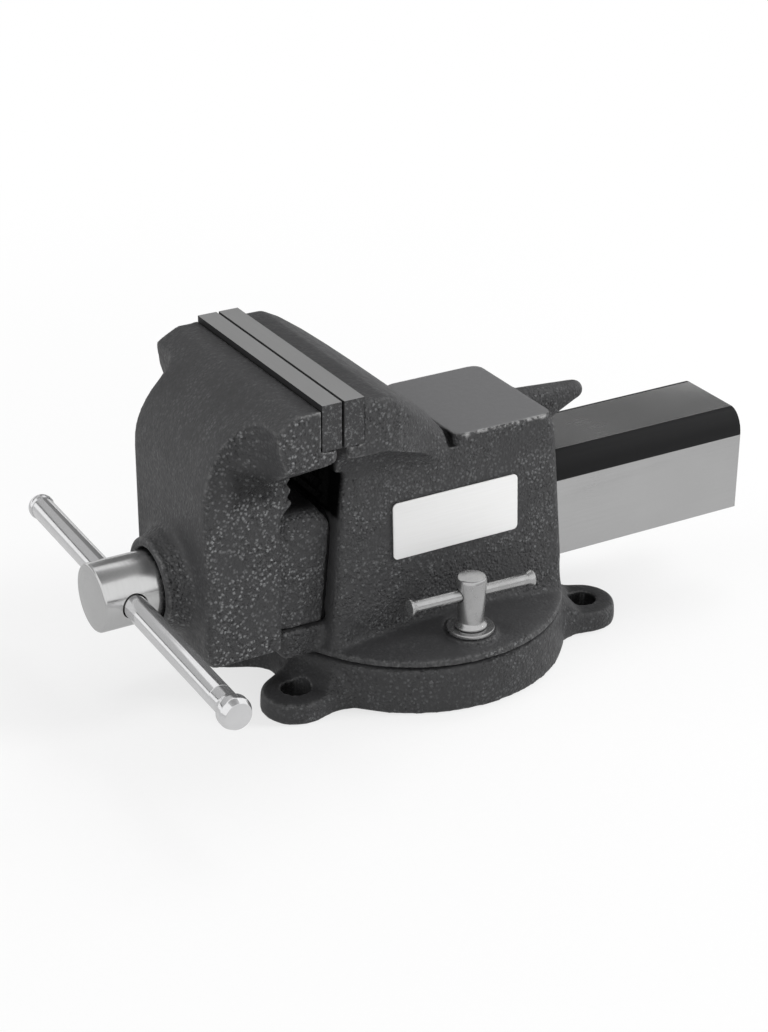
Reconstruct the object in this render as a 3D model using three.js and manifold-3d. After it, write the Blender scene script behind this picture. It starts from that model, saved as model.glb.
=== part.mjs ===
// Swivel bench vise with 100 mm jaws, closed. Millimetres, +Z up.
// The origin is the swivel axis on the underside of the base. -Y is the front, where the
// handle is, and +X is the side that carries the label.
import * as THREE from 'three';
import { mergeVertices } from 'three/addons/utils/BufferGeometryUtils.js';
import Module from 'manifold-3d';

const wasm = await Module();
wasm.setup();

// Fits between pieces
const seatGap = 0.3;
const slideGap = 0.5;
const runGap = 0.4;
const threadGap = 0.35;
const overrun = 3;

// How finely round shapes are divided
const arcSteps = 4;
const smallSides = 18;
const roundSides = 32;
const diskSides = 72;

// Swivel base: a cast disc with four bolt lugs, turned a little under the vise
const baseTurnDegrees = 2.3;
const baseHeight = 19;
const baseDraft = 1.2;
const baseEdge = 1;
const lugSpacingX = 51;
const lugSpacingY = 137;
const lugThickness = 9;
const lugEndRadius = 14;
const lugRootHalf = 22;
const lugHoleDiameter = 12;
const lugEdge = 0.8;
const gussetRun = 8;
const gussetRise = 6;
const gussetWidth = 25;

// Ring slot of the base and its tee nuts
const lockRadius = 46.7;
const slotWidth = 11;
const undercutWidth = 20;
const undercutFloor = 4;
const undercutHeight = 8.5;
const slotOuterWall = 6.7;
const slotEntryDiameter = 24;

// Turntable of the body and the pivot that centres it in the base
const seamGap = 0.4;
const turntableInset = 0.2;
const turntableRim = 2.8;
const turntableRise = 5.6;
const turntableEdge = 1;
const lockFlatRadius = 10.6;
const pivotRadius = 18;
const pivotBoreRadius = 12.5;
const pivotDepth = 13.4;
const pivotRoof = 2.6;

// Body casting
const bodyTopHalf = 28;
const bodyFootHalf = 31.6;
const bodyTopFront = 46.4;
const bodyFootFront = 52.6;
const bodyTopRear = 50;
const bodyFootRear = 54.4;
const bodyEdge = 4;
const anvilTop = 99.5;
const anvilFront = 3.2;
const anvilRear = 48.2;
const anvilStep = 4.5;
const anvilEdge = 4.5;
const shelfHalf = 24.6;
const shelfFront = 71.4;
const shelfEdge = 3.5;

// Horn at the back of the body
const hornTip = 80.5;
const hornTipRadius = 4.1;
const hornHalf = 6;
const hornSink = 0.3;
const hornDrop = 2.5;
const hornRootDepth = 26;

// Jaws and jaw plates
const jawLine = 58.3;
const jawOpening = 0.6;
const jawWidth = 100;
const plateThickness = 8.2;
const plateHeight = 18;
const plateTop = 135.3;
const plateProud = 2.3;
const ledgeReach = 6.8;
const ledgeHeight = 5.6;
const ledgeEdge = 2;
const plateScrewSpacing = 60;
const plateScrewDiameter = 6;
const plateScrewHead = 12;
const plateScrewLength = 21;
const plateScrewSink = 0.5;
const plateScrewRim = 0.5;
const hexKeyWidth = 4;
const hexKeyDepth = 3;

// Wing of the fixed jaw, which narrows and falls towards the anvil
const wingFlatEnd = 40;
const wingBlendHeight = 16;
const wingSink = 1.2;
const wingCornerDrop = 2;
const wingCornerGrowth = 10;
const wingSideLand = 0.6037;

// Front jaw casting
const columnHalf = 30.4;
const columnFront = 105;
const columnRear = 73;
const columnBottom = 28;
const columnEdge = 3.4;
const crownReach = 76;
const browReach = 104;
const browDrop = 13;
const browFootDrop = 35;
const wingReach = 85.2;
const wingLean = 4.2;
const wingFillet = 9.2;
const wingRootDrop = 13.9;
const bossRadius = 20.4;
const bossNoseRadius = 18.6;
const bossLength = 6;
const bossFillet = 2.2;
const counterboreRadius = 14.9;
const counterboreFloor = 0.6;
const cavityHalf = 17;
const cavityTop = 72;
const cavityFrontWall = 10.4;
const cavityRearWall = 3.4;

// Pipe jaws, cast under the flat jaws
const pipeToothPitch = 5.5;
const pipeToothDepth = 1.9;
const frontPipeReach = 4.6;
const frontPipeLow = 83.6;
const frontPipeTop = 99.5;
const rearPipeReach = 5;
const rearPipeHalf = 18;
const rearPipeLow = 75.4;
const rearPipeTop = 94.5;

// Neck and tongue of the front jaw, and the steel slide bar over the tongue
const neckHalf = 23.6;
const neckTop = 80;
const neckEdge = 7.5;
const neckGap = 0.6;
const neckPipeGap = 2;
const tongueRear = 34;
const slideHalf = 22;
const slideTop = 75.9;
const slideBottom = 32.1;
const slideCornerAcross = 7.6;
const slideCornerUp = 10.6;
const slideWall = 5;
const slideRear = 147.4;
const slidePinDiameter = 8;

// Spindle
const spindleHeight = 53.4;
const spindleTurnDegrees = 2;
const headRadius = 13.4;
const headEnd = 137.9;
const headEdge = 0.7;
const crossHoleEnd = 11.9;
const crossHoleDiameter = 10.4;
const spindleRadius = 10;
const threadDepth = 2.3;
const threadPitch = 5;
const threadCrest = 1.6;
const threadFlank = 0.8;
const threadFront = 24;
const spindleRear = 122;
const threadSides = 14;

// Small pieces that keep the spindle in the front jaw
const thrustWasherThickness = 1.4;
const thrustWasherRadius = 13;
const retainingWasherRadius = 14;
const retainingWasherThickness = 1.6;
const springWire = 1.6;
const springRadius = 12;
const springPitch = 2.5;
const springTurns = 3;
const springSteps = 8;
const springSides = 5;
const retainingPinDiameter = 4;
const retainingPinLength = 27;

// Handle
const handleDiameter = 9.5;
const handleNearEnd = 97.4;
const handleFarEnd = 82;
const nearKnobDiameter = 12.6;
const nearKnobLength = 14.2;
const farKnobDiameter = 11.2;
const farKnobLength = 7.6;
const knobSpigotDiameter = 6;
const knobSpigotLength = 5;

// Spindle nut and the bolt that holds it down
const nutHalfWidth = 14;
const nutHalfLength = 19;
const nutBoltDiameter = 10;
const nutBoltTop = 41;
const nutBoltHead = 17;
const nutBoltHeadHeight = 7;
const nutWasherRadius = 11;
const nutWasherThickness = 1.8;

// Swivel locks
const lockTurnDegrees = -2.2;
const lockFlat = 25;
const lockWasherRadius = 9.4;
const lockWasherThickness = 1.6;
const lockScrewTop = 48.6;
const lockScrewTopRadius = 5.8;
const lockScrewFootRadius = 5.1;
const lockScrewDome = 1;
const lockScrewFlare = 1.4;
const lockBarHeight = 41.2;
const lockBarDiameter = 4.7;
const lockBarLength = 57;
const lockBarRimDiameter = 6.8;
const lockBarRimLength = 2.4;
const teeNutSize = 17;

// Label plate
const labelWidth = 56.4;
const labelHeight = 23.4;
const labelEdge = 2;
const labelThickness = 0.6;
const labelMiddleY = 2.6;
const labelMiddleZ = 66.2;

// Sizes that follow from the ones above
const degree = Math.PI / 180;
const baseRadius = lockRadius + undercutWidth / 2 + slotOuterWall;
const turntableRadius = baseRadius - baseDraft - turntableInset;
const turntableSeat = baseHeight + seamGap;
const slideFloor = slideBottom - slideGap;
const jawHalf = jawWidth / 2;
const rearPlateFace = -jawLine + jawOpening / 2;
const frontPlateFace = -jawLine - jawOpening / 2;
const rearSeat = rearPlateFace + plateThickness + seatGap;
const frontSeat = frontPlateFace - plateThickness - seatGap;
const plateBottom = plateTop - plateHeight;
const plateMiddle = plateTop - plateHeight / 2;
const castingTop = plateTop - plateProud;
const ledgeTop = plateBottom - seatGap;
const ledgeBottom = ledgeTop - ledgeHeight;
const browHeight = castingTop - browDrop;
const browFoot = castingTop - browFootDrop;
const wingRootHeight = ledgeBottom - wingRootDrop;
const lugRadius = Math.hypot(lugSpacingX, lugSpacingY) / 2;
const lugAngle = Math.atan2(lugSpacingY, lugSpacingX);
const turntableTop = turntableSeat + turntableRim + turntableRise;
const undercutTop = undercutFloor + undercutHeight;
const bossFace = -columnFront - bossLength;
const cavityFront = -columnFront + cavityFrontWall;
const cavityRear = -columnRear - cavityRearWall;
const thrustWasherRear = -columnFront - counterboreFloor - seatGap;
const headRear = thrustWasherRear - thrustWasherThickness - seatGap;
const frontWasherStart = cavityFront + seatGap;
const springStart = frontWasherStart + retainingWasherThickness + seatGap;
const springLength = springTurns * springPitch + springWire;
const rearWasherStart = springStart + springLength + seatGap;
const retainingPinY = rearWasherStart + retainingWasherThickness + seatGap + retainingPinDiameter / 2;
const crossHoleY = -headEnd + crossHoleEnd;
const nutFloor = slideFloor + seatGap;
const nutWasherTop = turntableSeat + pivotRoof - seatGap;
const nutBoltHeadTop = nutWasherTop - nutWasherThickness - seatGap;
const lockWasherTop = lockFlat + seatGap + lockWasherThickness;
const lockScrewFoot = lockWasherTop + seatGap;
const bodyDraft = Math.atan2(bodyFootHalf - bodyTopHalf, anvilTop - turntableTop);
const bodyFrontSlope = (bodyFootFront - bodyTopFront) / (anvilTop - turntableTop);
const neckShoulder = rearPipeLow - neckPipeGap;
const neckRear = neckGap - bodyFrontAt(neckShoulder);
const neckRearFoot = neckGap - bodyFrontAt(slideBottom);

// Unit directions that outlines are drawn along
const alongX = new THREE.Matrix4().makeBasis(
  new THREE.Vector3(0, 1, 0),
  new THREE.Vector3(0, 0, 1),
  new THREE.Vector3(1, 0, 0),
);
const alongY = new THREE.Matrix4().makeBasis(
  new THREE.Vector3(1, 0, 0),
  new THREE.Vector3(0, 0, 1),
  new THREE.Vector3(0, 1, 0),
);
const alongZ = new THREE.Matrix4();

const finishes = {
  blackPaint: { color: 0x3f4042, roughness: 0.75, metalness: 0.1 },
  jawSteel: { color: 0x8f9092, roughness: 0.5, metalness: 0.9 },
  brightSteel: { color: 0xb4b6b8, roughness: 0.3, metalness: 1 },
  plated: { color: 0xd2d3d5, roughness: 0.18, metalness: 1 },
  zinc: { color: 0xb9bab8, roughness: 0.35, metalness: 1 },
  plainSteel: { color: 0x77797c, roughness: 0.45, metalness: 1 },
  springSteel: { color: 0x5b5d60, roughness: 0.4, metalness: 1 },
  bronze: { color: 0x9a7440, roughness: 0.4, metalness: 1 },
  label: { color: 0xe6e6e4, roughness: 0.4, metalness: 0.2 },
};

// Six times the volume that an indexed surface closes, negative when it faces inwards.
function signedVolume(points, triangles) {
  const a = new THREE.Vector3();
  const b = new THREE.Vector3();
  const c = new THREE.Vector3();
  let volume = 0;
  for (let i = 0; i < triangles.length; i += 3) {
    a.fromArray(points, 3 * triangles[i]);
    b.fromArray(points, 3 * triangles[i + 1]);
    c.fromArray(points, 3 * triangles[i + 2]);
    volume += a.dot(b.cross(c));
  }
  return volume;
}

// Turns closed geometry into a solid that can be joined and cut, with its faces outwards.
function solid(geometry) {
  geometry.deleteAttribute('normal');
  geometry.deleteAttribute('uv');
  const merged = mergeVertices(geometry);
  const points = merged.attributes.position.array;
  const index = merged.index.array;
  const triangles = [];
  for (let i = 0; i < index.length; i += 3) {
    const [a, b, c] = [index[i], index[i + 1], index[i + 2]];
    if (a !== b && b !== c && c !== a) {
      triangles.push(a, b, c);
    }
  }
  if (signedVolume(points, triangles) < 0) {
    triangles.reverse();
  }
  return new wasm.Manifold(new wasm.Mesh({
    numProp: 3,
    vertProperties: new Float32Array(points),
    triVerts: new Uint32Array(triangles),
  }));
}

function joined(solids) {
  return solids.reduce((whole, part) => whole.add(part));
}

function without(whole, cuts) {
  return whole.subtract(joined(cuts));
}

// Outline from corners given as [across, up, radius]; a radius becomes a short arc.
function rounded(corners) {
  const points = [];
  corners.forEach(([x, y, radius = 0], i) => {
    const corner = new THREE.Vector2(x, y);
    if (radius === 0) {
      points.push(corner);
      return;
    }
    const before = corners.at(i - 1);
    const after = corners[(i + 1) % corners.length];
    const back = new THREE.Vector2(before[0] - x, before[1] - y).normalize();
    const ahead = new THREE.Vector2(after[0] - x, after[1] - y).normalize();
    const halfAngle = Math.acos(THREE.MathUtils.clamp(back.dot(ahead), -1, 1)) / 2;
    const middle = back.clone().add(ahead).setLength(radius / Math.sin(halfAngle)).add(corner);
    const reach = radius / Math.tan(halfAngle);
    const start = corner.clone().addScaledVector(back, reach).sub(middle);
    const end = corner.clone().addScaledVector(ahead, reach).sub(middle);
    const turn = Math.atan2(start.cross(end), start.dot(end));
    for (let step = 0; step <= arcSteps; step += 1) {
      const point = start.clone().rotateAround(new THREE.Vector2(), turn * step / arcSteps);
      points.push(point.add(middle));
    }
  });
  return points;
}

// A rectangle with rounded corners around a middle point.
function plateOutline(width, height, radius, x = 0, y = 0) {
  return rounded([
    [x - width / 2, y - height / 2, radius],
    [x + width / 2, y - height / 2, radius],
    [x + width / 2, y + height / 2, radius],
    [x - width / 2, y + height / 2, radius],
  ]);
}

// An outline drawn out between two places on an axis.
function prism(outline, axis, from, to) {
  const geometry = new THREE.ExtrudeGeometry(new THREE.Shape(outline), {
    depth: to - from,
    bevelEnabled: false,
  });
  geometry.translate(0, 0, from);
  geometry.applyMatrix4(axis);
  return solid(geometry);
}

// A box between two corners.
function block(low, high) {
  const size = high.map((value, i) => value - low[i]);
  const geometry = new THREE.BoxGeometry(...size);
  geometry.translate(...low.map((value, i) => value + size[i] / 2));
  return solid(geometry);
}

// A turned solid: the profile is [radius, place] points along the +Z or +Y axis.
function turned(profile, sides, axis = alongZ) {
  const points = profile.map(([radius, place]) => new THREE.Vector2(radius, place));
  const geometry = new THREE.LatheGeometry(points, sides);
  geometry.rotateX(Math.PI / 2);
  geometry.applyMatrix4(axis);
  return solid(geometry);
}

function rod(radius, from, to, sides, axis = alongZ) {
  return turned([[0, from], [radius, from], [radius, to], [0, to]], sides, axis);
}

function ring(inner, outer, from, to, sides, axis = alongZ) {
  const profile = [[inner, from], [outer, from], [outer, to], [inner, to], [inner, from]];
  return turned(profile, sides, axis);
}

// The same rod with its axis moved to another place.
function rodAt(radius, from, to, sides, axis, [x, y, z]) {
  const geometry = new THREE.CylinderGeometry(radius, radius, to - from, sides);
  geometry.rotateX(Math.PI / 2);
  geometry.translate(0, 0, (from + to) / 2);
  geometry.applyMatrix4(axis);
  geometry.translate(x, y, z);
  return solid(geometry);
}

// A skin over rings of equally many points, closed by the first and the last ring.
function loft(rings, flatten) {
  const count = rings[0].length;
  const positions = rings.flat().flatMap((point) => point.toArray());
  const index = [];
  for (let ringNumber = 1; ringNumber < rings.length; ringNumber += 1) {
    const low = (ringNumber - 1) * count;
    const high = ringNumber * count;
    for (let i = 0; i < count; i += 1) {
      const next = (i + 1) % count;
      index.push(low + i, low + next, high + next);
      index.push(low + i, high + next, high + i);
    }
  }
  const cap = (points, start, flip) => {
    THREE.ShapeUtils.triangulateShape(points.map(flatten), []).forEach((triangle) => {
      const corners = triangle.map((corner) => corner + start);
      index.push(...(flip ? corners.reverse() : corners));
    });
  };
  const clockwise = THREE.ShapeUtils.isClockWise(rings[0].map(flatten));
  cap(rings[0], 0, !clockwise);
  cap(rings.at(-1), (rings.length - 1) * count, clockwise);
  const geometry = new THREE.BufferGeometry();
  geometry.setAttribute('position', new THREE.Float32BufferAttribute(positions, 3));
  geometry.setIndex(index);
  return solid(geometry);
}

// Points on a curve with one control point, without its two ends.
function bendPoints(start, control, end, steps) {
  const curve = new THREE.QuadraticBezierCurve(start, control, end);
  return curve.getPoints(steps).slice(1, -1);
}

// Names a solid, gives it its finish and puts it in a group.
function piece(group, name, shape, finish) {
  const { vertProperties, triVerts } = shape.getMesh();
  const geometry = new THREE.BufferGeometry();
  geometry.setAttribute('position', new THREE.BufferAttribute(vertProperties, 3));
  geometry.setIndex(new THREE.BufferAttribute(triVerts, 1));
  geometry.computeVertexNormals();
  const mesh = new THREE.Mesh(geometry, new THREE.MeshStandardMaterial(finish));
  mesh.name = name;
  group.add(mesh);
  return mesh;
}

// Outline of one base lug, pointing along +X: a round end that flares into the disc.
function lugOutline(inset) {
  const endRadius = lugEndRadius - inset;
  const rootRadius = baseRadius - baseDraft;
  const root = new THREE.Vector2(Math.sqrt(rootRadius ** 2 - lugRootHalf ** 2), lugRootHalf - inset);
  const side = new THREE.Vector2(lugRadius, endRadius);
  const control = new THREE.Vector2(root.x + (side.x - root.x) / 3, side.y);
  const flare = bendPoints(root, control, side, arcSteps);
  const upper = [root, ...flare, side];
  const end = [];
  const endSteps = 3 * arcSteps;
  for (let step = 1; step < endSteps; step += 1) {
    const angle = Math.PI / 2 - Math.PI * step / endSteps;
    end.push(new THREE.Vector2(lugRadius + endRadius * Math.cos(angle), endRadius * Math.sin(angle)));
  }
  const lower = upper.toReversed().map((point) => new THREE.Vector2(point.x, -point.y));
  const inner = baseRadius - undercutWidth / 2;
  return [
    new THREE.Vector2(inner, root.y),
    ...upper,
    ...end,
    ...lower,
    new THREE.Vector2(inner, -root.y),
  ].toReversed();
}

// One lug with its rounded top edge and the gusset that runs up the rim of the disc.
function baseLug(angle) {
  const level = (inset, z) => lugOutline(inset).map((point) => new THREE.Vector3(point.x, point.y, z));
  const plate = loft([
    level(0, 0),
    level(lugEdge / 2, lugThickness - lugEdge),
    level(lugEdge * 3 / 2, lugThickness),
  ], (point) => new THREE.Vector2(point.x, point.y));
  const rim = baseRadius - baseDraft;
  const gusset = prism([
    new THREE.Vector2(rim - undercutWidth / 4, 0),
    new THREE.Vector2(rim + gussetRun, 0),
    new THREE.Vector2(rim + gussetRun, lugThickness - lugEdge),
    new THREE.Vector2(rim, lugThickness + gussetRise),
    new THREE.Vector2(rim - undercutWidth / 4, lugThickness + gussetRise),
  ], alongY, -gussetWidth / 2, gussetWidth / 2);
  const hole = rodAt(lugHoleDiameter / 2, -overrun, baseHeight, smallSides, alongZ, [lugRadius, 0, 0]);
  return without(joined([plate, gusset]), [hole]).transform(turnMatrix(angle));
}

// Column-major matrix of a turn about +Z.
function turnMatrix(angle) {
  return new THREE.Matrix4().makeRotationZ(angle).toArray();
}

function swivelBase() {
  const disk = turned([
    [0, 0],
    [baseRadius, 0],
    [baseRadius - baseDraft, baseHeight - baseEdge],
    [baseRadius - baseDraft - baseEdge, baseHeight],
    [0, baseHeight],
  ], diskSides);
  const lugs = [lugAngle, Math.PI - lugAngle, Math.PI + lugAngle, -lugAngle].map(baseLug);
  const slotHalf = slotWidth / 2;
  const undercutHalf = undercutWidth / 2;
  const slot = ring(lockRadius - slotHalf, lockRadius + slotHalf, undercutFloor, baseHeight + overrun, diskSides);
  const undercut = ring(lockRadius - undercutHalf, lockRadius + undercutHalf, undercutFloor, undercutTop, diskSides);
  const entry = rodAt(slotEntryDiameter / 2, undercutFloor, baseHeight + overrun, smallSides, alongZ,
    [0, lockRadius, 0]);
  const pivotBore = rod(pivotRadius + runGap, turntableSeat - pivotDepth - runGap, baseHeight + overrun, roundSides);
  return without(joined([disk, ...lugs]), [slot, undercut, entry, pivotBore]);
}

// Half width of the body casting at a height, on its drafted sides.
function bodyHalfAt(z) {
  return bodyTopHalf + (anvilTop - z) * Math.tan(bodyDraft);
}

// Where the front of the body casting, which leans forward to its foot, lies at a height.
function bodyFrontAt(z) {
  return -bodyTopFront - (anvilTop - z) * bodyFrontSlope;
}

// Outline of the slide bar's outer face, drawn from one foot over the top to the other.
function slideArch(grow, bottom) {
  const half = slideHalf + grow;
  const top = slideTop + grow;
  const across = slideCornerAcross + grow / 2;
  const up = slideCornerUp + grow / 2;
  const steps = 2 * arcSteps;
  const corner = [];
  for (let step = 0; step <= steps; step += 1) {
    const angle = Math.PI / 2 * step / steps;
    corner.push(new THREE.Vector2(half - across + across * Math.cos(angle), top - up + up * Math.sin(angle)));
  }
  const left = corner.toReversed().map((point) => new THREE.Vector2(-point.x, point.y));
  return [new THREE.Vector2(half, bottom), ...corner, ...left, new THREE.Vector2(-half, bottom)];
}

// Where the fixed wing's top has fallen to, as shares of its length and of its fall.
const wingSlopeShares = [[0, 0], [0.14, 0.08], [0.3, 0.21], [0.45, 0.35], [0.6, 0.5], [0.74, 0.65], [0.88, 0.83], [1, 1]];

// One cross-section of the fixed jaw's wing at a share of the way from its flat top to the anvil.
function wingSection(y, runShare, fallShare) {
  const narrow = 0.5 + 0.5 * Math.cos(Math.PI * runShare);
  const half = bodyTopHalf + (jawHalf - bodyTopHalf) * narrow;
  const top = castingTop - (castingTop - anvilTop + wingSink) * fallShare;
  const sideAtPlate = castingTop - ledgeBottom;
  const sideAtAnvil = wingCornerDrop + wingCornerGrowth + wingSideLand;
  const low = top - sideAtPlate + (sideAtPlate - sideAtAnvil) * fallShare;
  const root = bodyTopHalf - seatGap;
  const corner = wingCornerDrop + wingCornerGrowth * runShare;
  const side = [new THREE.Vector2(root, low - wingBlendHeight)];
  for (let step = 1; step <= arcSteps; step += 1) {
    const angle = Math.PI / 2 * step / arcSteps;
    side.push(new THREE.Vector2(
      half - (half - root) * Math.cos(angle),
      low - wingBlendHeight + wingBlendHeight * Math.sin(angle),
    ));
  }
  for (let step = 0; step <= arcSteps; step += 1) {
    const angle = Math.PI / 2 * step / arcSteps;
    side.push(new THREE.Vector2(
      half - corner + corner * Math.cos(angle),
      top - corner + corner * Math.sin(angle),
    ));
  }
  const mirrored = side.toReversed().map((point) => new THREE.Vector2(-point.x, point.y));
  return [...side, ...mirrored].map((point) => new THREE.Vector3(point.x, y, point.y));
}

// The wing of the fixed jaw: full width behind the plate, then falling to the anvil.
function rearWing() {
  const length = wingFlatEnd + anvilFront;
  const sections = [wingSection(rearSeat, 0, 0)];
  wingSlopeShares.forEach(([runShare, fallShare]) => {
    sections.push(wingSection(-wingFlatEnd + length * runShare, runShare, fallShare));
  });
  return loft(sections, (point) => new THREE.Vector2(point.x, point.z));
}

// The ledge that carries a jaw plate, from its seat out to its rounded lip.
function plateLedge(seat, side) {
  const lip = seat + side * ledgeReach;
  const root = seat - side * ledgeReach;
  return prism(rounded([
    [root, ledgeBottom],
    [lip, ledgeBottom, ledgeEdge],
    [lip, ledgeTop],
    [root, ledgeTop],
  ]), alongX, -jawHalf, jawHalf);
}

// A toothed pad of a pipe jaw, from its root to its tips. side is +1 where it faces +Y.
function pipePad(root, reach, side, low, top, half) {
  const tip = root + side * reach;
  const outline = [
    new THREE.Vector2(root - side * reach, low),
    new THREE.Vector2(root, low),
    new THREE.Vector2(tip, low + reach),
  ];
  const teeth = Math.floor((top - low - reach) / pipeToothPitch);
  for (let tooth = 0; tooth < teeth; tooth += 1) {
    const foot = low + reach + pipeToothPitch * tooth;
    outline.push(new THREE.Vector2(tip, foot + pipeToothPitch / 4));
    outline.push(new THREE.Vector2(tip - side * pipeToothDepth, foot + pipeToothPitch * 3 / 8));
    outline.push(new THREE.Vector2(tip - side * pipeToothDepth, foot + pipeToothPitch * 5 / 8));
    outline.push(new THREE.Vector2(tip, foot + pipeToothPitch * 3 / 4));
  }
  outline.push(new THREE.Vector2(tip, top));
  outline.push(new THREE.Vector2(root - side * reach, top));
  return prism(outline, alongX, -half, half);
}

// The drafted block of the body, from the turntable up to the anvil.
function bodyBlock() {
  const level = (z) => {
    const share = (anvilTop - z) / (anvilTop - turntableTop);
    const half = bodyHalfAt(z);
    const front = bodyFrontAt(z);
    const rear = bodyTopRear + (bodyFootRear - bodyTopRear) * share;
    return rounded([
      [-half, front, bodyEdge],
      [half, front, bodyEdge],
      [half, rear, bodyEdge],
      [-half, rear, bodyEdge],
    ]).map((point) => new THREE.Vector3(point.x, point.y, z));
  };
  const seat = turntableSeat + turntableRim / 2;
  return loft([level(seat), level(anvilTop - anvilStep)], (point) => new THREE.Vector2(point.x, point.y));
}

function anvilPad() {
  const middle = (anvilFront + anvilRear) / 2;
  const outline = plateOutline(2 * bodyTopHalf, anvilRear - anvilFront, anvilEdge, 0, middle);
  return prism(outline, alongZ, anvilTop - 2 * anvilStep, anvilTop);
}

// One upright section of the horn, round at its top and its foot.
function hornSection(y, half, top, foot) {
  const sides = 4 * arcSteps;
  return Array.from({ length: sides }, (_, side) => {
    const angle = 2 * Math.PI * side / sides;
    const middle = side <= sides / 2 ? top - half : foot + half;
    return new THREE.Vector3(half * Math.cos(angle), y, middle + half * Math.sin(angle));
  });
}

// The horn: it runs back from the top of the body and narrows to a ball-shaped tip.
function horn() {
  const root = anvilRear - bodyEdge;
  const top = anvilTop - hornDrop;
  const middle = top - hornTipRadius;
  const sections = [
    hornSection(root, hornHalf, anvilTop - hornSink, anvilTop - hornRootDepth),
  ];
  for (let step = 0; step < arcSteps; step += 1) {
    const angle = Math.PI / 2 * step / arcSteps;
    const radius = hornTipRadius * Math.cos(angle);
    const y = hornTip - hornTipRadius + hornTipRadius * Math.sin(angle);
    sections.push(hornSection(y, radius, middle + radius, middle - radius));
  }
  const blunt = hornTipRadius / 8;
  sections.push(hornSection(hornTip, blunt, middle + blunt, middle - blunt));
  return loft(sections, (point) => new THREE.Vector2(point.x, point.z));
}

// The turntable disc with its shallow cone, and the pivot under it.
function turntable() {
  const rimTop = turntableSeat + turntableRim;
  const disk = turned([
    [0, turntableSeat],
    [turntableRadius, turntableSeat],
    [turntableRadius, rimTop],
    [turntableRadius - turntableEdge, rimTop + turntableEdge / 2],
    [lockRadius, lockFlat],
    [bodyFootHalf, turntableTop],
    [0, turntableTop],
  ], diskSides);
  const pivot = rod(pivotRadius, turntableSeat - pivotDepth, turntableTop, roundSides);
  const flats = [-1, 1].map((side) => rodAt(lockFlatRadius, turntableSeat, lockFlat, roundSides, alongZ,
    [side * lockRadius, 0, 0]));
  return joined([disk, pivot, ...flats]);
}

// The shelf under the neck, in front of the body.
function frontShelf() {
  const side = prism(rounded([
    [0, turntableSeat],
    [-shelfFront, turntableSeat, shelfEdge],
    [-shelfFront, slideFloor],
    [0, slideFloor],
  ]), alongX, -shelfHalf, shelfHalf);
  const plan = prism(rounded([
    [-shelfHalf, 0],
    [-shelfHalf, -shelfFront, shelfEdge],
    [shelfHalf, -shelfFront, shelfEdge],
    [shelfHalf, 0],
  ]), alongZ, turntableSeat - overrun, slideFloor + overrun);
  return side.intersect(plan);
}

// Holes in a casting for the shanks of its plate screws.
function plateScrewHoles(seat, side) {
  const depth = plateScrewLength + seatGap - plateThickness;
  const radius = plateScrewDiameter / 2 + seatGap;
  const [from, to] = [seat + side * overrun, seat - side * depth].sort((a, b) => a - b);
  return [-1, 1].map((place) => rodAt(radius, from, to, smallSides, alongY,
    [place * plateScrewSpacing / 2, 0, plateMiddle]));
}

function viseBody() {
  const whole = joined([
    bodyBlock(),
    turntable(),
    rearWing(),
    plateLedge(rearSeat, -1),
    pipePad(-bodyTopFront, rearPipeReach, -1, rearPipeLow, rearPipeTop, rearPipeHalf),
    anvilPad(),
    horn(),
    frontShelf(),
  ]);
  const tunnel = prism(slideArch(slideGap, slideFloor), alongY, -shelfFront - overrun, bodyFootRear + overrun);
  const lockCuts = [-1, 1].flatMap((side) => [
    rodAt(lockFlatRadius, lockFlat, turntableTop + overrun, roundSides, alongZ, [side * lockRadius, 0, 0]),
    rodAt(lockScrewFootRadius + runGap, turntableSeat - overrun, lockFlat + overrun, smallSides, alongZ,
      [side * lockRadius, 0, 0]),
  ]);
  const pivotBore = rod(pivotBoreRadius, turntableSeat - pivotDepth - overrun, turntableSeat + pivotRoof, roundSides);
  const nutBoltHole = rod(nutBoltDiameter / 2 + seatGap, turntableSeat, slideFloor + overrun, smallSides);
  return without(whole, [tunnel, ...lockCuts, pivotBore, nutBoltHole, ...plateScrewHoles(rearSeat, -1)]);
}

// The curve over the brow of the front jaw, from the flat crown down to the column's front.
const brow = new THREE.QuadraticBezierCurve(
  new THREE.Vector2(-crownReach, castingTop),
  new THREE.Vector2(-browReach, browHeight),
  new THREE.Vector2(-columnFront, browFoot),
);

// Points of the brow from the crown forward to a place, without the first.
function browPoints(y, steps) {
  const square = brow.v0.x - 2 * brow.v1.x + brow.v2.x;
  const slope = 2 * (brow.v1.x - brow.v0.x);
  const end = (-slope - Math.sqrt(slope ** 2 - 4 * square * (brow.v0.x - y))) / (2 * square);
  return Array.from({ length: steps }, (_, i) => brow.getPoint(end * (i + 1) / steps));
}

// The lip under the front jaw plate, seen from the side, from its underside to the plate's seat.
function frontLip() {
  const lip = frontSeat + ledgeReach;
  return [
    new THREE.Vector2(lip - ledgeEdge, ledgeBottom),
    new THREE.Vector2(lip - ledgeEdge / 3, ledgeBottom + ledgeEdge / 3),
    new THREE.Vector2(lip, ledgeBottom + ledgeEdge),
    new THREE.Vector2(lip, ledgeTop),
    new THREE.Vector2(frontSeat, ledgeTop),
    new THREE.Vector2(frontSeat, castingTop),
  ];
}

// One side view of the front jaw's wing where its front face lies at a place.
function wingSide(x, front, share) {
  const under = THREE.MathUtils.lerp(wingRootHeight, ledgeBottom, share);
  const top = browPoints(front, 2 * arcSteps);
  const lean = wingLean * (1 + share) / 2;
  const middle = new THREE.Vector2(front + lean / 4, (top.at(-1).y + under) / 2);
  return [
    brow.v0,
    ...top,
    middle,
    new THREE.Vector2(front + lean, under),
    ...frontLip(),
  ].map((point) => new THREE.Vector3(x, point.x, point.y));
}

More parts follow.
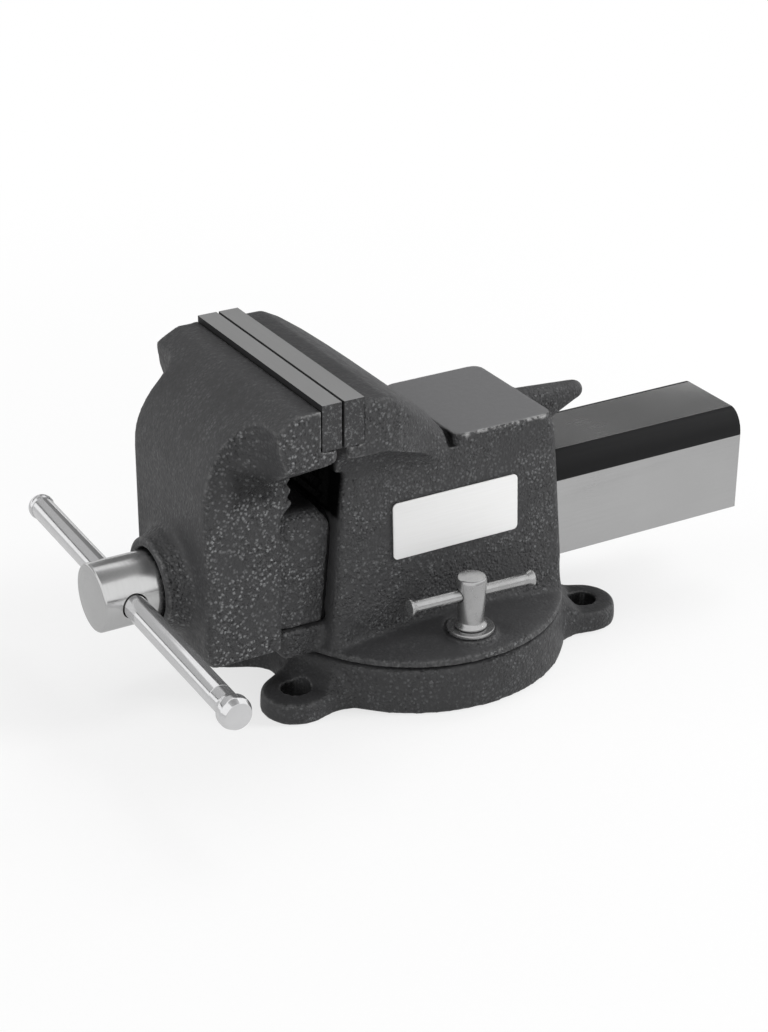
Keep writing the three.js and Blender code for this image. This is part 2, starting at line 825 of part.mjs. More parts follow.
// Both wings of the front jaw, drawn through the column; a fillet joins them to its sides.
function frontWings() {
  const places = [];
  for (let step = 0; step <= arcSteps; step += 1) {
    const angle = Math.PI / 2 * step / arcSteps;
    const out = wingFillet * (1 - Math.cos(angle));
    places.push([columnHalf + out, -wingReach - wingFillet * (1 - Math.sin(angle))]);
  }
  places.push([jawHalf, -wingReach]);
  const share = (x) => (x - columnHalf) / (jawHalf - columnHalf);
  const right = places.map(([x, front]) => wingSide(x, front, share(x)));
  const left = places.map(([x, front]) => wingSide(-x, front, share(x)));
  return loft([...left.toReversed(), ...right], (point) => new THREE.Vector2(point.y, point.z));
}

// The column of the front jaw with the middle of its head.
function frontColumn() {
  const side = prism([
    ...rounded([[-columnFront, columnBottom, columnEdge], [-columnRear, columnBottom, columnEdge / 2],
      [-columnRear, ledgeBottom], [-columnFront, ledgeBottom]]).slice(0, -2),
    new THREE.Vector2(-columnRear, ledgeBottom),
    ...frontLip(),
    brow.v0,
    ...browPoints(-columnFront, 3 * arcSteps),
  ], alongX, -columnHalf, columnHalf);
  const plan = prism(rounded([
    [-columnHalf, -columnFront, columnEdge / 2],
    [columnHalf, -columnFront, columnEdge / 2],
    [columnHalf, frontSeat + 2 * ledgeReach],
    [-columnHalf, frontSeat + 2 * ledgeReach],
  ]), alongZ, columnBottom - overrun, castingTop + overrun);
  return side.intersect(plan);
}

// The round boss that the spindle head turns in front of.
function spindleBoss() {
  const face = -columnFront;
  return turned([
    [0, face + bossFillet],
    [bossRadius + bossFillet, face + bossFillet],
    [bossRadius + bossFillet, face],
    [bossRadius + bossFillet / 4, face - bossFillet / 4],
    [bossRadius, face - bossFillet],
    [bossNoseRadius + bossFillet / 4, bossFace + bossFillet / 4],
    [bossNoseRadius, bossFace],
    [0, bossFace],
  ], roundSides, alongY).translate([0, 0, spindleHeight]);
}

// The space that the neck takes, seen from the side. Its rear end leans like the body's front
// up to its shoulder and then slopes back under the rear pipe jaw.
function neckSpace(gap) {
  const root = -columnRear - cavityRearWall / 2;
  return prism([
    new THREE.Vector2(root, slideBottom - gap),
    new THREE.Vector2(gap - neckRearFoot, slideBottom - gap),
    new THREE.Vector2(gap - neckRearFoot, slideBottom),
    new THREE.Vector2(gap - neckRear, neckShoulder),
    new THREE.Vector2(gap - bodyTopFront - rearPipeReach - neckPipeGap, neckTop),
    new THREE.Vector2(root, neckTop),
  ], alongX, -neckHalf - overrun, neckHalf + overrun);
}

// The neck behind the column.
function neck() {
  const section = rounded([
    [-neckHalf, slideBottom],
    [neckHalf, slideBottom],
    [neckHalf, neckTop, neckEdge],
    [-neckHalf, neckTop, neckEdge],
  ]);
  return prism(section, alongY, -columnRear - cavityRearWall / 2, -tongueRear).intersect(neckSpace(0));
}

function tongue() {
  const half = slideHalf - slideWall - runGap;
  const top = slideTop - slideWall - runGap;
  const bottom = slideBottom + slideWall;
  const corner = slideCornerUp - slideWall / 2;
  return prism(rounded([
    [-half, bottom],
    [half, bottom],
    [half, top, corner],
    [-half, top, corner],
  ]), alongY, -neckRearFoot - overrun, -tongueRear);
}

function slidePinPlace() {
  return [0, -(neckRear + tongueRear) / 2, spindleHeight];
}

function frontJaw() {
  const whole = joined([
    frontColumn(),
    frontWings(),
    spindleBoss(),
    neck(),
    tongue(),
    pipePad(-columnRear, frontPipeReach, 1, frontPipeLow, frontPipeTop, columnHalf - columnEdge / 4),
  ]);
  const lift = [0, 0, spindleHeight];
  const boreFrom = bossFace - overrun;
  const cuts = [
    rodAt(counterboreRadius, boreFrom, -columnFront - counterboreFloor, roundSides, alongY, lift),
    rodAt(spindleRadius + runGap, boreFrom, cavityFront + overrun, roundSides, alongY, lift),
    rodAt(spindleRadius + 2 * runGap, cavityRear - overrun, -tongueRear + overrun, roundSides, alongY, lift),
    block([-cavityHalf, cavityFront, columnBottom - overrun], [cavityHalf, cavityRear, cavityTop]),
    ...plateScrewHoles(frontSeat, 1),
  ];
  const pinHole = rodAt(slidePinDiameter / 2 + seatGap, -slideHalf, slideHalf, smallSides, alongX, slidePinPlace());
  return without(whole, [...cuts, pinHole]);
}

// A jaw plate, drawn as the front one; its screws enter from the face that grips.
function jawPlate(face, side) {
  const back = face - side * plateThickness;
  const [from, to] = [face, back].sort((a, b) => a - b);
  const body = prism([
    new THREE.Vector2(-jawHalf, plateBottom),
    new THREE.Vector2(jawHalf, plateBottom),
    new THREE.Vector2(jawHalf, plateTop),
    new THREE.Vector2(-jawHalf, plateTop),
  ], alongY, from, to);
  const holes = [-1, 1].map((place) => laidDown(
    screwForm(seatGap),
    -side,
    [place * plateScrewSpacing / 2, face, plateMiddle],
  ));
  return without(body, holes);
}

// Countersunk screw along +Z, sunk a little under zero. grow widens it for the hole it sits in.
function screwForm(grow) {
  const head = plateScrewHead / 2 + grow;
  const shank = plateScrewDiameter / 2 + grow;
  const start = grow > 0 ? -overrun : plateScrewSink;
  const cone = plateScrewSink + plateScrewRim + grow * (Math.SQRT2 - 1);
  return turned([
    [0, start],
    [head, start],
    [head, cone],
    [shank, cone + head - shank],
    [shank, plateScrewLength + grow],
    [0, plateScrewLength + grow],
  ], smallSides);
}

// Lays a form that points along +Z down along +Y or -Y and moves it to a place.
function laidDown(form, direction, [x, y, z]) {
  const matrix = new THREE.Matrix4().makeRotationX(-direction * Math.PI / 2);
  matrix.setPosition(x, y, z);
  return form.transform(matrix.toArray());
}

function hexOutline(acrossFlats) {
  const radius = acrossFlats / Math.sqrt(3);
  return Array.from({ length: 6 }, (_, i) => new THREE.Vector2(
    radius * Math.cos(Math.PI * i / 3),
    radius * Math.sin(Math.PI * i / 3),
  ));
}

function plateScrew(side) {
  const key = prism(hexOutline(hexKeyWidth), alongZ, -overrun, plateScrewSink + hexKeyDepth);
  return laidDown(without(screwForm(0), [key]), -side, [0, 0, 0]);
}

function slideBar() {
  const outer = slideArch(0, slideBottom);
  const inner = slideArch(-slideWall, slideBottom);
  const bar = prism([...outer, ...inner.toReversed()], alongY, -columnRear, slideRear);
  const pinHole = rodAt(slidePinDiameter / 2 + seatGap, -slideHalf - overrun, slideHalf + overrun, smallSides,
    alongX, slidePinPlace());
  return without(bar, [neckSpace(seatGap), pinHole]);
}

function slidePin(side) {
  const inner = spindleRadius + 3 * runGap;
  const outer = slideHalf - seatGap;
  const [from, to] = [side * inner, side * outer].sort((a, b) => a - b);
  return rodAt(slidePinDiameter / 2, from, to, smallSides, alongX, slidePinPlace());
}

// The ridge of the screw thread as one closed helical surface along +Y, grown on every side.
function threadForm(from, to, radialGrow, axialGrow) {
  const crest = spindleRadius + radialGrow;
  const root = spindleRadius - threadDepth + radialGrow;
  const steps = [
    [crest, -axialGrow],
    [crest, threadCrest + axialGrow],
    [root, threadCrest + threadFlank + axialGrow],
    [root, threadPitch - threadFlank - axialGrow],
  ];
  const turns = Math.ceil((to - from) / threadPitch) + 3;
  const first = Math.floor(from / threadPitch) - 1;
  const positions = [];
  const rows = steps.length * turns;
  for (let row = 0; row < rows; row += 1) {
    const [radius, offset] = steps[row % steps.length];
    const start = threadPitch * (first + Math.floor(row / steps.length)) + offset;
    for (let side = 0; side < threadSides; side += 1) {
      const angle = 2 * Math.PI * side / threadSides;
      const place = start + threadPitch * side / threadSides;
      positions.push(radius * Math.sin(angle), place, radius * Math.cos(angle));
    }
  }
  const at = (row, side) => {
    const wraps = Math.floor(side / threadSides);
    return (row + steps.length * wraps) * threadSides + side - threadSides * wraps;
  };
  const index = [];
  for (let row = 0; row < rows - 1; row += 1) {
    for (let side = 0; side < threadSides; side += 1) {
      const corners = [at(row, side), at(row + 1, side), at(row + 1, side + 1), at(row, side + 1)];
      if (Math.max(...corners) < rows * threadSides) {
        index.push(corners[0], corners[1], corners[2], corners[0], corners[2], corners[3]);
      }
    }
  }
  closeThreadEnds(positions, index, steps.length, rows, at);
  const geometry = new THREE.BufferGeometry();
  geometry.setAttribute('position', new THREE.Float32BufferAttribute(positions, 3));
  geometry.setIndex(index);
  return geometry;
}

// Closes both ends of the helical surface with fans of triangles around a point on its axis.
function closeThreadEnds(positions, index, rowsPerTurn, rows, at) {
  const loops = [];
  const low = Array.from({ length: threadSides + 1 }, (_, side) => at(0, side));
  for (let row = rowsPerTurn - 1; row > 0; row -= 1) {
    low.push(at(row, 0));
  }
  loops.push(low);
  const high = Array.from({ length: threadSides }, (_, side) => at(rows - 1, side));
  for (let row = rows - 2; row >= rows - 1 - rowsPerTurn; row -= 1) {
    high.push(at(row, threadSides - 1));
  }
  loops.push(high.toReversed());
  loops.forEach((loop) => {
    const places = loop.map((corner) => positions[3 * corner + 1]);
    const middle = positions.length / 3;
    positions.push(0, places.reduce((sum, place) => sum + place) / places.length, 0);
    loop.forEach((corner, i) => {
      index.push(middle, corner, loop[(i + 1) % loop.length]);
    });
  });
}

// The threaded length of the spindle, chamfered at its rear end.
function spindleThread() {
  const from = -threadFront - runGap;
  const form = solid(threadForm(from, spindleRear, 0, 0));
  const envelope = turned([
    [0, from],
    [spindleRadius + overrun, from],
    [spindleRadius + overrun, spindleRear - threadDepth - overrun],
    [spindleRadius - threadDepth, spindleRear],
    [0, spindleRear],
  ], roundSides, alongY);
  return form.intersect(envelope);
}

// The spindle along +Y on its own axis: a round head, a plain shank and the thread.
function spindle() {
  const head = turned([
    [0, -headEnd],
    [headRadius - headEdge, -headEnd],
    [headRadius, -headEnd + headEdge],
    [headRadius, headRear - headEdge],
    [headRadius - headEdge, headRear],
    [0, headRear],
  ], roundSides, alongY);
  const shank = rod(spindleRadius, headRear - overrun, -threadFront, roundSides, alongY);
  const crossHole = rodAt(crossHoleDiameter / 2, -headRadius - overrun, headRadius + overrun, smallSides, alongX,
    [0, crossHoleY, 0]);
  const pinHole = rodAt(retainingPinDiameter / 2 + seatGap, -headRadius, headRadius, smallSides, alongZ,
    [0, retainingPinY, 0]);
  return without(joined([head, shank, spindleThread()]), [crossHole, pinHole]);
}

function spindleWasher(radius, from, thickness) {
  return ring(spindleRadius + runGap, radius, from, from + thickness, roundSides, alongY);
}

// The rings of points that the spring's wire passes through, turn after turn.
function springRings() {
  const rings = [];
  for (let step = 0; step <= springTurns * springSteps; step += 1) {
    const angle = 2 * Math.PI * step / springSteps;
    const middle = springStart + springWire / 2 + springPitch * step / springSteps;
    const points = [];
    for (let side = 0; side < springSides; side += 1) {
      const around = 2 * Math.PI * side / springSides;
      const radius = springRadius + springWire / 2 * Math.cos(around);
      const place = middle + springWire / 2 * Math.sin(around);
      points.push(new THREE.Vector3(radius * Math.sin(angle), place, radius * Math.cos(angle)));
    }
    rings.push(points);
  }
  return rings;
}

// The least distance between points of the wire that are more than half a turn apart.
function leastSpringGap(rings) {
  let least = Infinity;
  rings.forEach((points, i) => {
    rings.slice(i + springSteps / 2 + 1).flat().forEach((other) => {
      points.forEach((point) => {
        least = Math.min(least, point.distanceTo(other));
      });
    });
  });
  return least;
}

function retainingSpring() {
  const rings = springRings();
  console.log(`Retaining spring: least gap between its turns ${leastSpringGap(rings).toFixed(2)} mm`);
  return loft(rings, (point) => new THREE.Vector2(Math.hypot(point.x, point.z), point.y));
}

function retainingPin() {
  return rod(retainingPinDiameter / 2, -retainingPinLength / 2, retainingPinLength / 2, smallSides);
}

// The nut, drawn around the spindle axis and threaded to match the spindle.
function spindleNut() {
  const floor = nutFloor - spindleHeight;
  const outline = [new THREE.Vector2(-nutHalfWidth, floor), new THREE.Vector2(nutHalfWidth, floor)];
  const steps = 3 * arcSteps;
  for (let step = 0; step <= steps; step += 1) {
    const angle = Math.PI * step / steps;
    outline.push(new THREE.Vector2(nutHalfWidth * Math.cos(angle), nutHalfWidth * Math.sin(angle)));
  }
  const blank = prism(outline, alongY, -nutHalfLength, nutHalfLength);
  const reach = nutHalfLength + overrun;
  const threadGeometry = threadForm(-reach, reach, threadGap, threadGap);
  threadGeometry.rotateY(spindleTurnDegrees * degree);
  const boltHole = rod(nutBoltDiameter / 2 + seatGap, floor - overrun, nutBoltTop + seatGap - spindleHeight,
    smallSides);
  return without(blank, [solid(threadGeometry), boltHole]);
}

function nutBolt() {
  const head = prism(hexOutline(nutBoltHead), alongZ, nutBoltHeadTop - nutBoltHeadHeight, nutBoltHeadTop);
  return head.add(rod(nutBoltDiameter / 2, nutBoltHeadTop - nutBoltHeadHeight / 2, nutBoltTop, smallSides));
}

function nutWasher() {
  const inner = nutBoltDiameter / 2 + seatGap;
  return ring(inner, nutWasherRadius, nutWasherTop - nutWasherThickness, nutWasherTop, smallSides);
}

// The handle's bar along +X, with a thinner spigot in each knob.
function handleBar() {
  const near = handleNearEnd - nearKnobLength - seatGap;
  const far = -handleFarEnd + farKnobLength + seatGap;
  const spigot = knobSpigotDiameter / 2;
  return turned([
    [0, far - knobSpigotLength],
    [spigot, far - knobSpigotLength],
    [spigot, far],
    [handleDiameter / 2, far],
    [handleDiameter / 2, near],
    [spigot, near],
    [spigot, near + knobSpigotLength],
    [0, near + knobSpigotLength],
  ], smallSides, alongX);
}

// A knob outwards along +X from its face against the bar, with a blind hole for the spigot.
function knob(start, length, radius, endShare) {
  const hole = knobSpigotDiameter / 2 + seatGap;
  const depth = start + knobSpigotLength + seatGap;
  const end = start + length;
  const chamfer = radius * (1 - endShare);
  return turned([
    [hole, start],
    [handleDiameter / 2 + seatGap, start],
    [radius, start + chamfer],
    [radius, end - chamfer],
    [radius * (1 + endShare) / 2, end - chamfer / 4],
    [radius * endShare, end],
    [0, end],
    [0, depth],
    [hole, depth],
    [hole, start],
  ], smallSides, alongX);
}

const knobFaceShare = 0.86;

function nearKnob() {
  return knob(handleNearEnd - nearKnobLength, nearKnobLength, nearKnobDiameter / 2, knobFaceShare);
}

function farKnob() {
  return knob(handleFarEnd - farKnobLength, farKnobLength, farKnobDiameter / 2, knobFaceShare);
}

// The lock screw around its own axis, with the hole that its bar slides through.
function lockScrew() {
  const foot = lockScrewFootRadius + lockScrewFlare;
  const screw = turned([
    [0, undercutFloor + 2 * seatGap],
    [lockScrewFootRadius, undercutFloor + 2 * seatGap],
    [lockScrewFootRadius, lockScrewFoot],
    [foot, lockScrewFoot],
    [foot, lockScrewFoot + lockScrewFlare / 2],
    [lockScrewFootRadius, lockScrewFoot + lockScrewFlare * 3 / 2],
    [lockScrewTopRadius, lockScrewTop - lockScrewDome],
    [lockScrewTopRadius * 3 / 4, lockScrewTop - lockScrewDome / 4],
    [0, lockScrewTop],
  ], smallSides);
  const hole = rodAt(lockBarDiameter / 2 + runGap, -lockBarLength / 2, lockBarLength / 2, smallSides, alongY,
    [0, 0, lockBarHeight]);
  return without(screw, [hole]);
}

function lockBar() {
  const end = lockBarLength / 2;
  const rim = lockBarRimDiameter / 2;
  const rimStart = end - lockBarRimLength;
  const half = [
    [lockBarDiameter / 2, rimStart],
    [rim, rimStart + lockBarRimLength / 3],
    [rim, end - lockBarRimLength / 6],
    [0, end],
  ];
  const mirrored = half.toReversed().map(([radius, place]) => [radius, -place]);
  return turned([...mirrored, ...half], smallSides, alongY);
}

function lockWasher() {
  const inner = lockScrewFootRadius + runGap;
  return ring(inner, lockWasherRadius, lockFlat + seatGap, lockWasherTop, smallSides);
}

function teeNut() {
  const half = teeNutSize / 2;
  const blank = block([-half, -half, undercutFloor + seatGap], [half, half, undercutTop - seatGap]);
  return without(blank, [rod(lockScrewFootRadius + runGap, 0, undercutTop + overrun, smallSides)]);
}

// The label plate in its own frame: its back is the plane x = 0.
function labelPlate() {
  return prism(plateOutline(labelWidth, labelHeight, labelEdge), alongX, seatGap, seatGap + labelThickness);
}

function addBase(vise) {
  const base = new THREE.Group();
  base.rotation.z = baseTurnDegrees * degree;
  piece(base, 'swivel_base', swivelBase(), finishes.blackPaint);
  vise.add(base);
}

function addPlateWithScrews(group, name, face, side) {
  piece(group, `${name}_jaw_plate`, jawPlate(face, side), finishes.jawSteel);
  [['left', -1], ['right', 1]].forEach(([sideName, place]) => {
    const screw = piece(group, `${name}_jaw_screw_${sideName}`, plateScrew(side), finishes.plainSteel);
    screw.position.set(place * plateScrewSpacing / 2, face, plateMiddle);
  });
}

// The body and everything that swivels with it and stays still when the jaws move.
function addTurret(vise) {
  const turret = new THREE.Group();
  piece(turret, 'vise_body', viseBody(), finishes.blackPaint);
  addPlateWithScrews(turret, 'rear', rearPlateFace, -1);
  piece(turret, 'spindle_nut', spindleNut(), finishes.plainSteel).position.z = spindleHeight;
  piece(turret, 'nut_bolt', nutBolt(), finishes.zinc);
  piece(turret, 'nut_washer', nutWasher(), finishes.zinc);
  const label = piece(turret, 'label_plate', labelPlate(), finishes.label);
  label.position.set(bodyHalfAt(labelMiddleZ), labelMiddleY, labelMiddleZ);
  label.rotation.y = -bodyDraft;
  [['near', 1], ['far', -1]].forEach(([name, side]) => {
    piece(turret, `lock_washer_${name}`, lockWasher(), finishes.zinc).position.x = side * lockRadius;
    piece(turret, `lock_tee_nut_${name}`, teeNut(), finishes.plainSteel).position.x = side * lockRadius;
  });
  vise.add(turret);
}

// The front jaw and everything that slides with it without turning.
function addJaw(vise) {
  const jaw = new THREE.Group();
  piece(jaw, 'front_jaw', frontJaw(), finishes.blackPaint);
  addPlateWithScrews(jaw, 'front', frontPlateFace, 1);
  piece(jaw, 'slide_bar', slideBar(), finishes.plainSteel);
  piece(jaw, 'slide_pin_left', slidePin(-1), finishes.plainSteel);
  piece(jaw, 'slide_pin_right', slidePin(1), finishes.plainSteel);
  const axis = new THREE.Group();
  axis.position.z = spindleHeight;
  const thrustWasher = spindleWasher(thrustWasherRadius, headRear + seatGap, thrustWasherThickness);
  const frontWasher = spindleWasher(retainingWasherRadius, frontWasherStart, retainingWasherThickness);
  piece(axis, 'thrust_washer', thrustWasher, finishes.bronze);
  piece(axis, 'retaining_washer_front', frontWasher, finishes.zinc);
  piece(axis, 'retaining_spring', retainingSpring(), finishes.springSteel);
  jaw.add(axis);
  vise.add(jaw);
}

// The spindle with what turns with it, and the handle that slides through its head.
function addSpindle(vise) {
  const turning = new THREE.Group();
  turning.position.z = spindleHeight;
  turning.rotation.y = spindleTurnDegrees * degree;
  const rearWasher = spindleWasher(retainingWasherRadius, rearWasherStart, retainingWasherThickness);
  piece(turning, 'spindle', spindle(), finishes.brightSteel);
  piece(turning, 'retaining_washer_rear', rearWasher, finishes.zinc);
  piece(turning, 'retaining_pin', retainingPin(), finishes.plainSteel).position.y = retainingPinY;
  const handle = new THREE.Group();
  handle.position.y = crossHoleY;
  piece(handle, 'handle_bar', handleBar(), finishes.plated);
  piece(handle, 'handle_knob_near', nearKnob(), finishes.plated);
  piece(handle, 'handle_knob_far', farKnob(), finishes.plated).rotation.z = Math.PI;
  turning.add(handle);
  vise.add(turning);
}

// One swivel lock: a screw with a bar through its head. side is +1 on the label's side.
function addLock(vise, name, side) {
  const lock = new THREE.Group();
  lock.position.x = side * lockRadius;
  lock.rotation.z = side * lockTurnDegrees * degree;
  piece(lock, `lock_screw_${name}`, lockScrew(), finishes.zinc);
  piece(lock, `lock_bar_${name}`, lockBar(), finishes.zinc).position.z = lockBarHeight;
  vise.add(lock);
}

const vise = new THREE.Group();
addBase(vise);
addTurret(vise);
addJaw(vise);
addSpindle(vise);
addLock(vise, 'near', 1);
addLock(vise, 'far', -1);

export default vise;
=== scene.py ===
"""Looks of the swivel bench vise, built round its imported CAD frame.

Sizes in the classes are millimetres in the row frame: +Z up along the swivel axis, -Y the
front, where the handle is, and +X the side that carries the label plate.
"""

import logging
import math
from collections.abc import Callable, Sequence
from dataclasses import dataclass
from enum import Enum
from functools import cache

import bmesh
import bpy
import numpy as np
from mathutils import Matrix, Vector


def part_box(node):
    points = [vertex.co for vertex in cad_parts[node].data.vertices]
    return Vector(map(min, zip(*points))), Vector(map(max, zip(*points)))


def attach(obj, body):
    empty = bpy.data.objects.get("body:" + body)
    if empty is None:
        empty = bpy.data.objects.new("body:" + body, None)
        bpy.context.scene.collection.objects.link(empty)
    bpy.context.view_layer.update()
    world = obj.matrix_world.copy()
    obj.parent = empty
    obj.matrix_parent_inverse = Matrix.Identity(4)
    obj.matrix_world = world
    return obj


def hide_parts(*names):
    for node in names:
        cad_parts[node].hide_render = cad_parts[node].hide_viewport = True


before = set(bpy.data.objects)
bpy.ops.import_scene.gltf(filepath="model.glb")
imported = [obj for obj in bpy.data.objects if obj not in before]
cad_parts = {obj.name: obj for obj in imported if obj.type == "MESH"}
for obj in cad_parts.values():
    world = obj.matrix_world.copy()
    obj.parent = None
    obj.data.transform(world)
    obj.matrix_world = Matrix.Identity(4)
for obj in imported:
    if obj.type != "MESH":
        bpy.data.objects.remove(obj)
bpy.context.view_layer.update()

MM = 0.001

log = logging.getLogger("vise")

Point = Sequence[float]
Corner = tuple[float, float, float]
Faces = list[Sequence[int]]
Setting = float | int | bool | str | tuple[float, ...]
Piece = bpy.types.Object
Tree = bpy.types.NodeTree
Socket = bpy.types.NodeSocket
Inputs = dict[str | int, object]
Drives = dict[str, Socket]

ORIGIN: Corner = (0.0, 0.0, 0.0)

# Height of the spindle's axis, where the handle crosses it, and its turn in the photograph
SPINDLE_HEIGHT = 53.4
HANDLE_PLACE = -126.0
HANDLE_TURN = 2.0


class Axis(Enum):
    """The row axis along which a form is drawn out or turned, with its number."""

    X = 0
    Y = 1
    Z = 2

    def place(self, across: float, up: float, along: float) -> Vector:
        """Put a point of an outline and its place along the axis into the row frame.

        Args:
            across: First coordinate of the outline.
            up: Second coordinate of the outline.
            along: Place along the axis.

        Returns:
            The point, in the unit of the arguments.
        """
        point = [across, up]
        point.insert(self.value, along)
        return Vector(point)


class Slot(Enum):
    """The record's material slots."""

    CASTING = "black_casting"
    JAW = "jaw_steel"
    SCREW = "screw_steel"
    SLIDE = "slide_steel"
    SPINDLE = "spindle_steel"
    HANDLE = "handle_plating"
    ZINC = "zinc_plating"
    SPRING = "spring_steel"
    BRONZE = "bronze"
    LABEL = "label_metal"


# Colours and nodes


def linear(code: str) -> tuple[float, float, float, float]:
    """Turn an sRGB hex colour into the linear colour that Blender's sockets take.

    Args:
        code: Six hex digits after a hash.

    Returns:
        Linear red, green, blue and an alpha of one.
    """
    shares = [int(code[i : i + 2], 16) / 255 for i in (1, 3, 5)]
    red, green, blue = (s / 12.92 if s <= 0.04045 else ((s + 0.055) / 1.055) ** 2.4 for s in shares)
    return (red, green, blue, 1.0)


def add_node(
    tree: Tree, kind: str, inputs: Inputs | None = None, **settings: Setting
) -> bpy.types.Node:
    """Add a node with its settings, its fixed values and its links.

    Args:
        tree: The node tree to add to.
        kind: The node's type name, without the ShaderNode that every one starts with.
        inputs: Value or output socket for each input, by the input's name or number.
        **settings: Properties of the node itself.

    Returns:
        The new node.
    """
    node = tree.nodes.new(f"ShaderNode{kind}")
    for name, value in settings.items():
        setattr(node, name, value)
    for name, value in (inputs or {}).items():
        if isinstance(value, Socket):
            tree.links.new(value, node.inputs[name])
        else:
            node.inputs[name].default_value = value
    return node


def emptied(owner: bpy.types.Material | bpy.types.World) -> Tree:
    """The node tree of a material or a world, without the nodes that it starts with.

    Args:
        owner: The material or the world.

    Returns:
        Its empty node tree.
    """
    owner.use_nodes = True
    owner.node_tree.nodes.clear()
    return owner.node_tree


def per_metre(millimetres: float) -> float:
    """Scale of a pattern whose features are this many millimetres wide."""
    return 1 / (millimetres * MM)


@dataclass(frozen=True)
class Finish:
    """What every finish shares: the shader's fixed values, and a name.

    The name says the real material and its process.
    """

    name: str
    roughness: float
    metallic: float = 0.0
    ior: float = 1.5

    def pattern(self, tree: Tree) -> Drives:
        """Add the nodes that drive the shader. Each finish has its own.

        Args:
            tree: The material's node tree.

        Returns:
            The socket that drives each shader input, by the input's name.
        """
        raise NotImplementedError

    def worked(
        self,
        tree: Tree,
        tone: Socket,
        marks: Socket,
        colours: tuple[str, str],
        spread: tuple[float, float],
        relief: tuple[float, float],
        tone_ends: tuple[float, float] = (0.3, 0.7),
    ) -> Drives:
        """Colour and roughness that follow one tone, and a bump that follows the tool's marks.

        Args:
            tree: The material's node tree.
            tone: Where the surface is paler, from nothing to one.
            marks: The height of the marks.
            colours: The darker and the paler colour.
            spread: How much rougher the dark is than the finish, and how much smoother the pale.
            relief: Strength of the bump, and its depth in millimetres.
            tone_ends: The tones that get the roughest and the smoothest value.

        Returns:
            The sockets for the shader's colour, roughness and normal.
        """
        dark, pale = (linear(code) for code in colours)
        colour = add_node(tree, "Mix", {"Factor": tone, "A": dark, "B": pale}, data_type="RGBA")
        satin = add_node(tree, "MapRange", {
            "Value": tone, "From Min": tone_ends[0], "From Max": tone_ends[1],
            "To Min": self.roughness + spread[0], "To Max": self.roughness - spread[1],
        })
        bump = add_node(
            tree, "Bump", {"Height": marks, "Strength": relief[0], "Distance": relief[1] * MM}
        )
        return {
            "Base Color": colour.outputs["Result"],
            "Roughness": satin.outputs[0],
            "Normal": bump.outputs[0],
        }

    @cache
    def material(self) -> bpy.types.Material:
        """The finish as a Blender material, made once.

        Returns:
            The material.
        """
        made = bpy.data.materials.new(self.name)
        tree = emptied(made)
        values: Inputs = {"Roughness": self.roughness, "Metallic": self.metallic}
        if not self.metallic:
            values["IOR"] = self.ior
        surface = add_node(tree, "BsdfPrincipled", values)
        for name, socket in self.pattern(tree).items():
            tree.links.new(socket, surface.inputs[name])
        add_node(tree, "OutputMaterial", {"Surface": surface.outputs["BSDF"]})
        return made


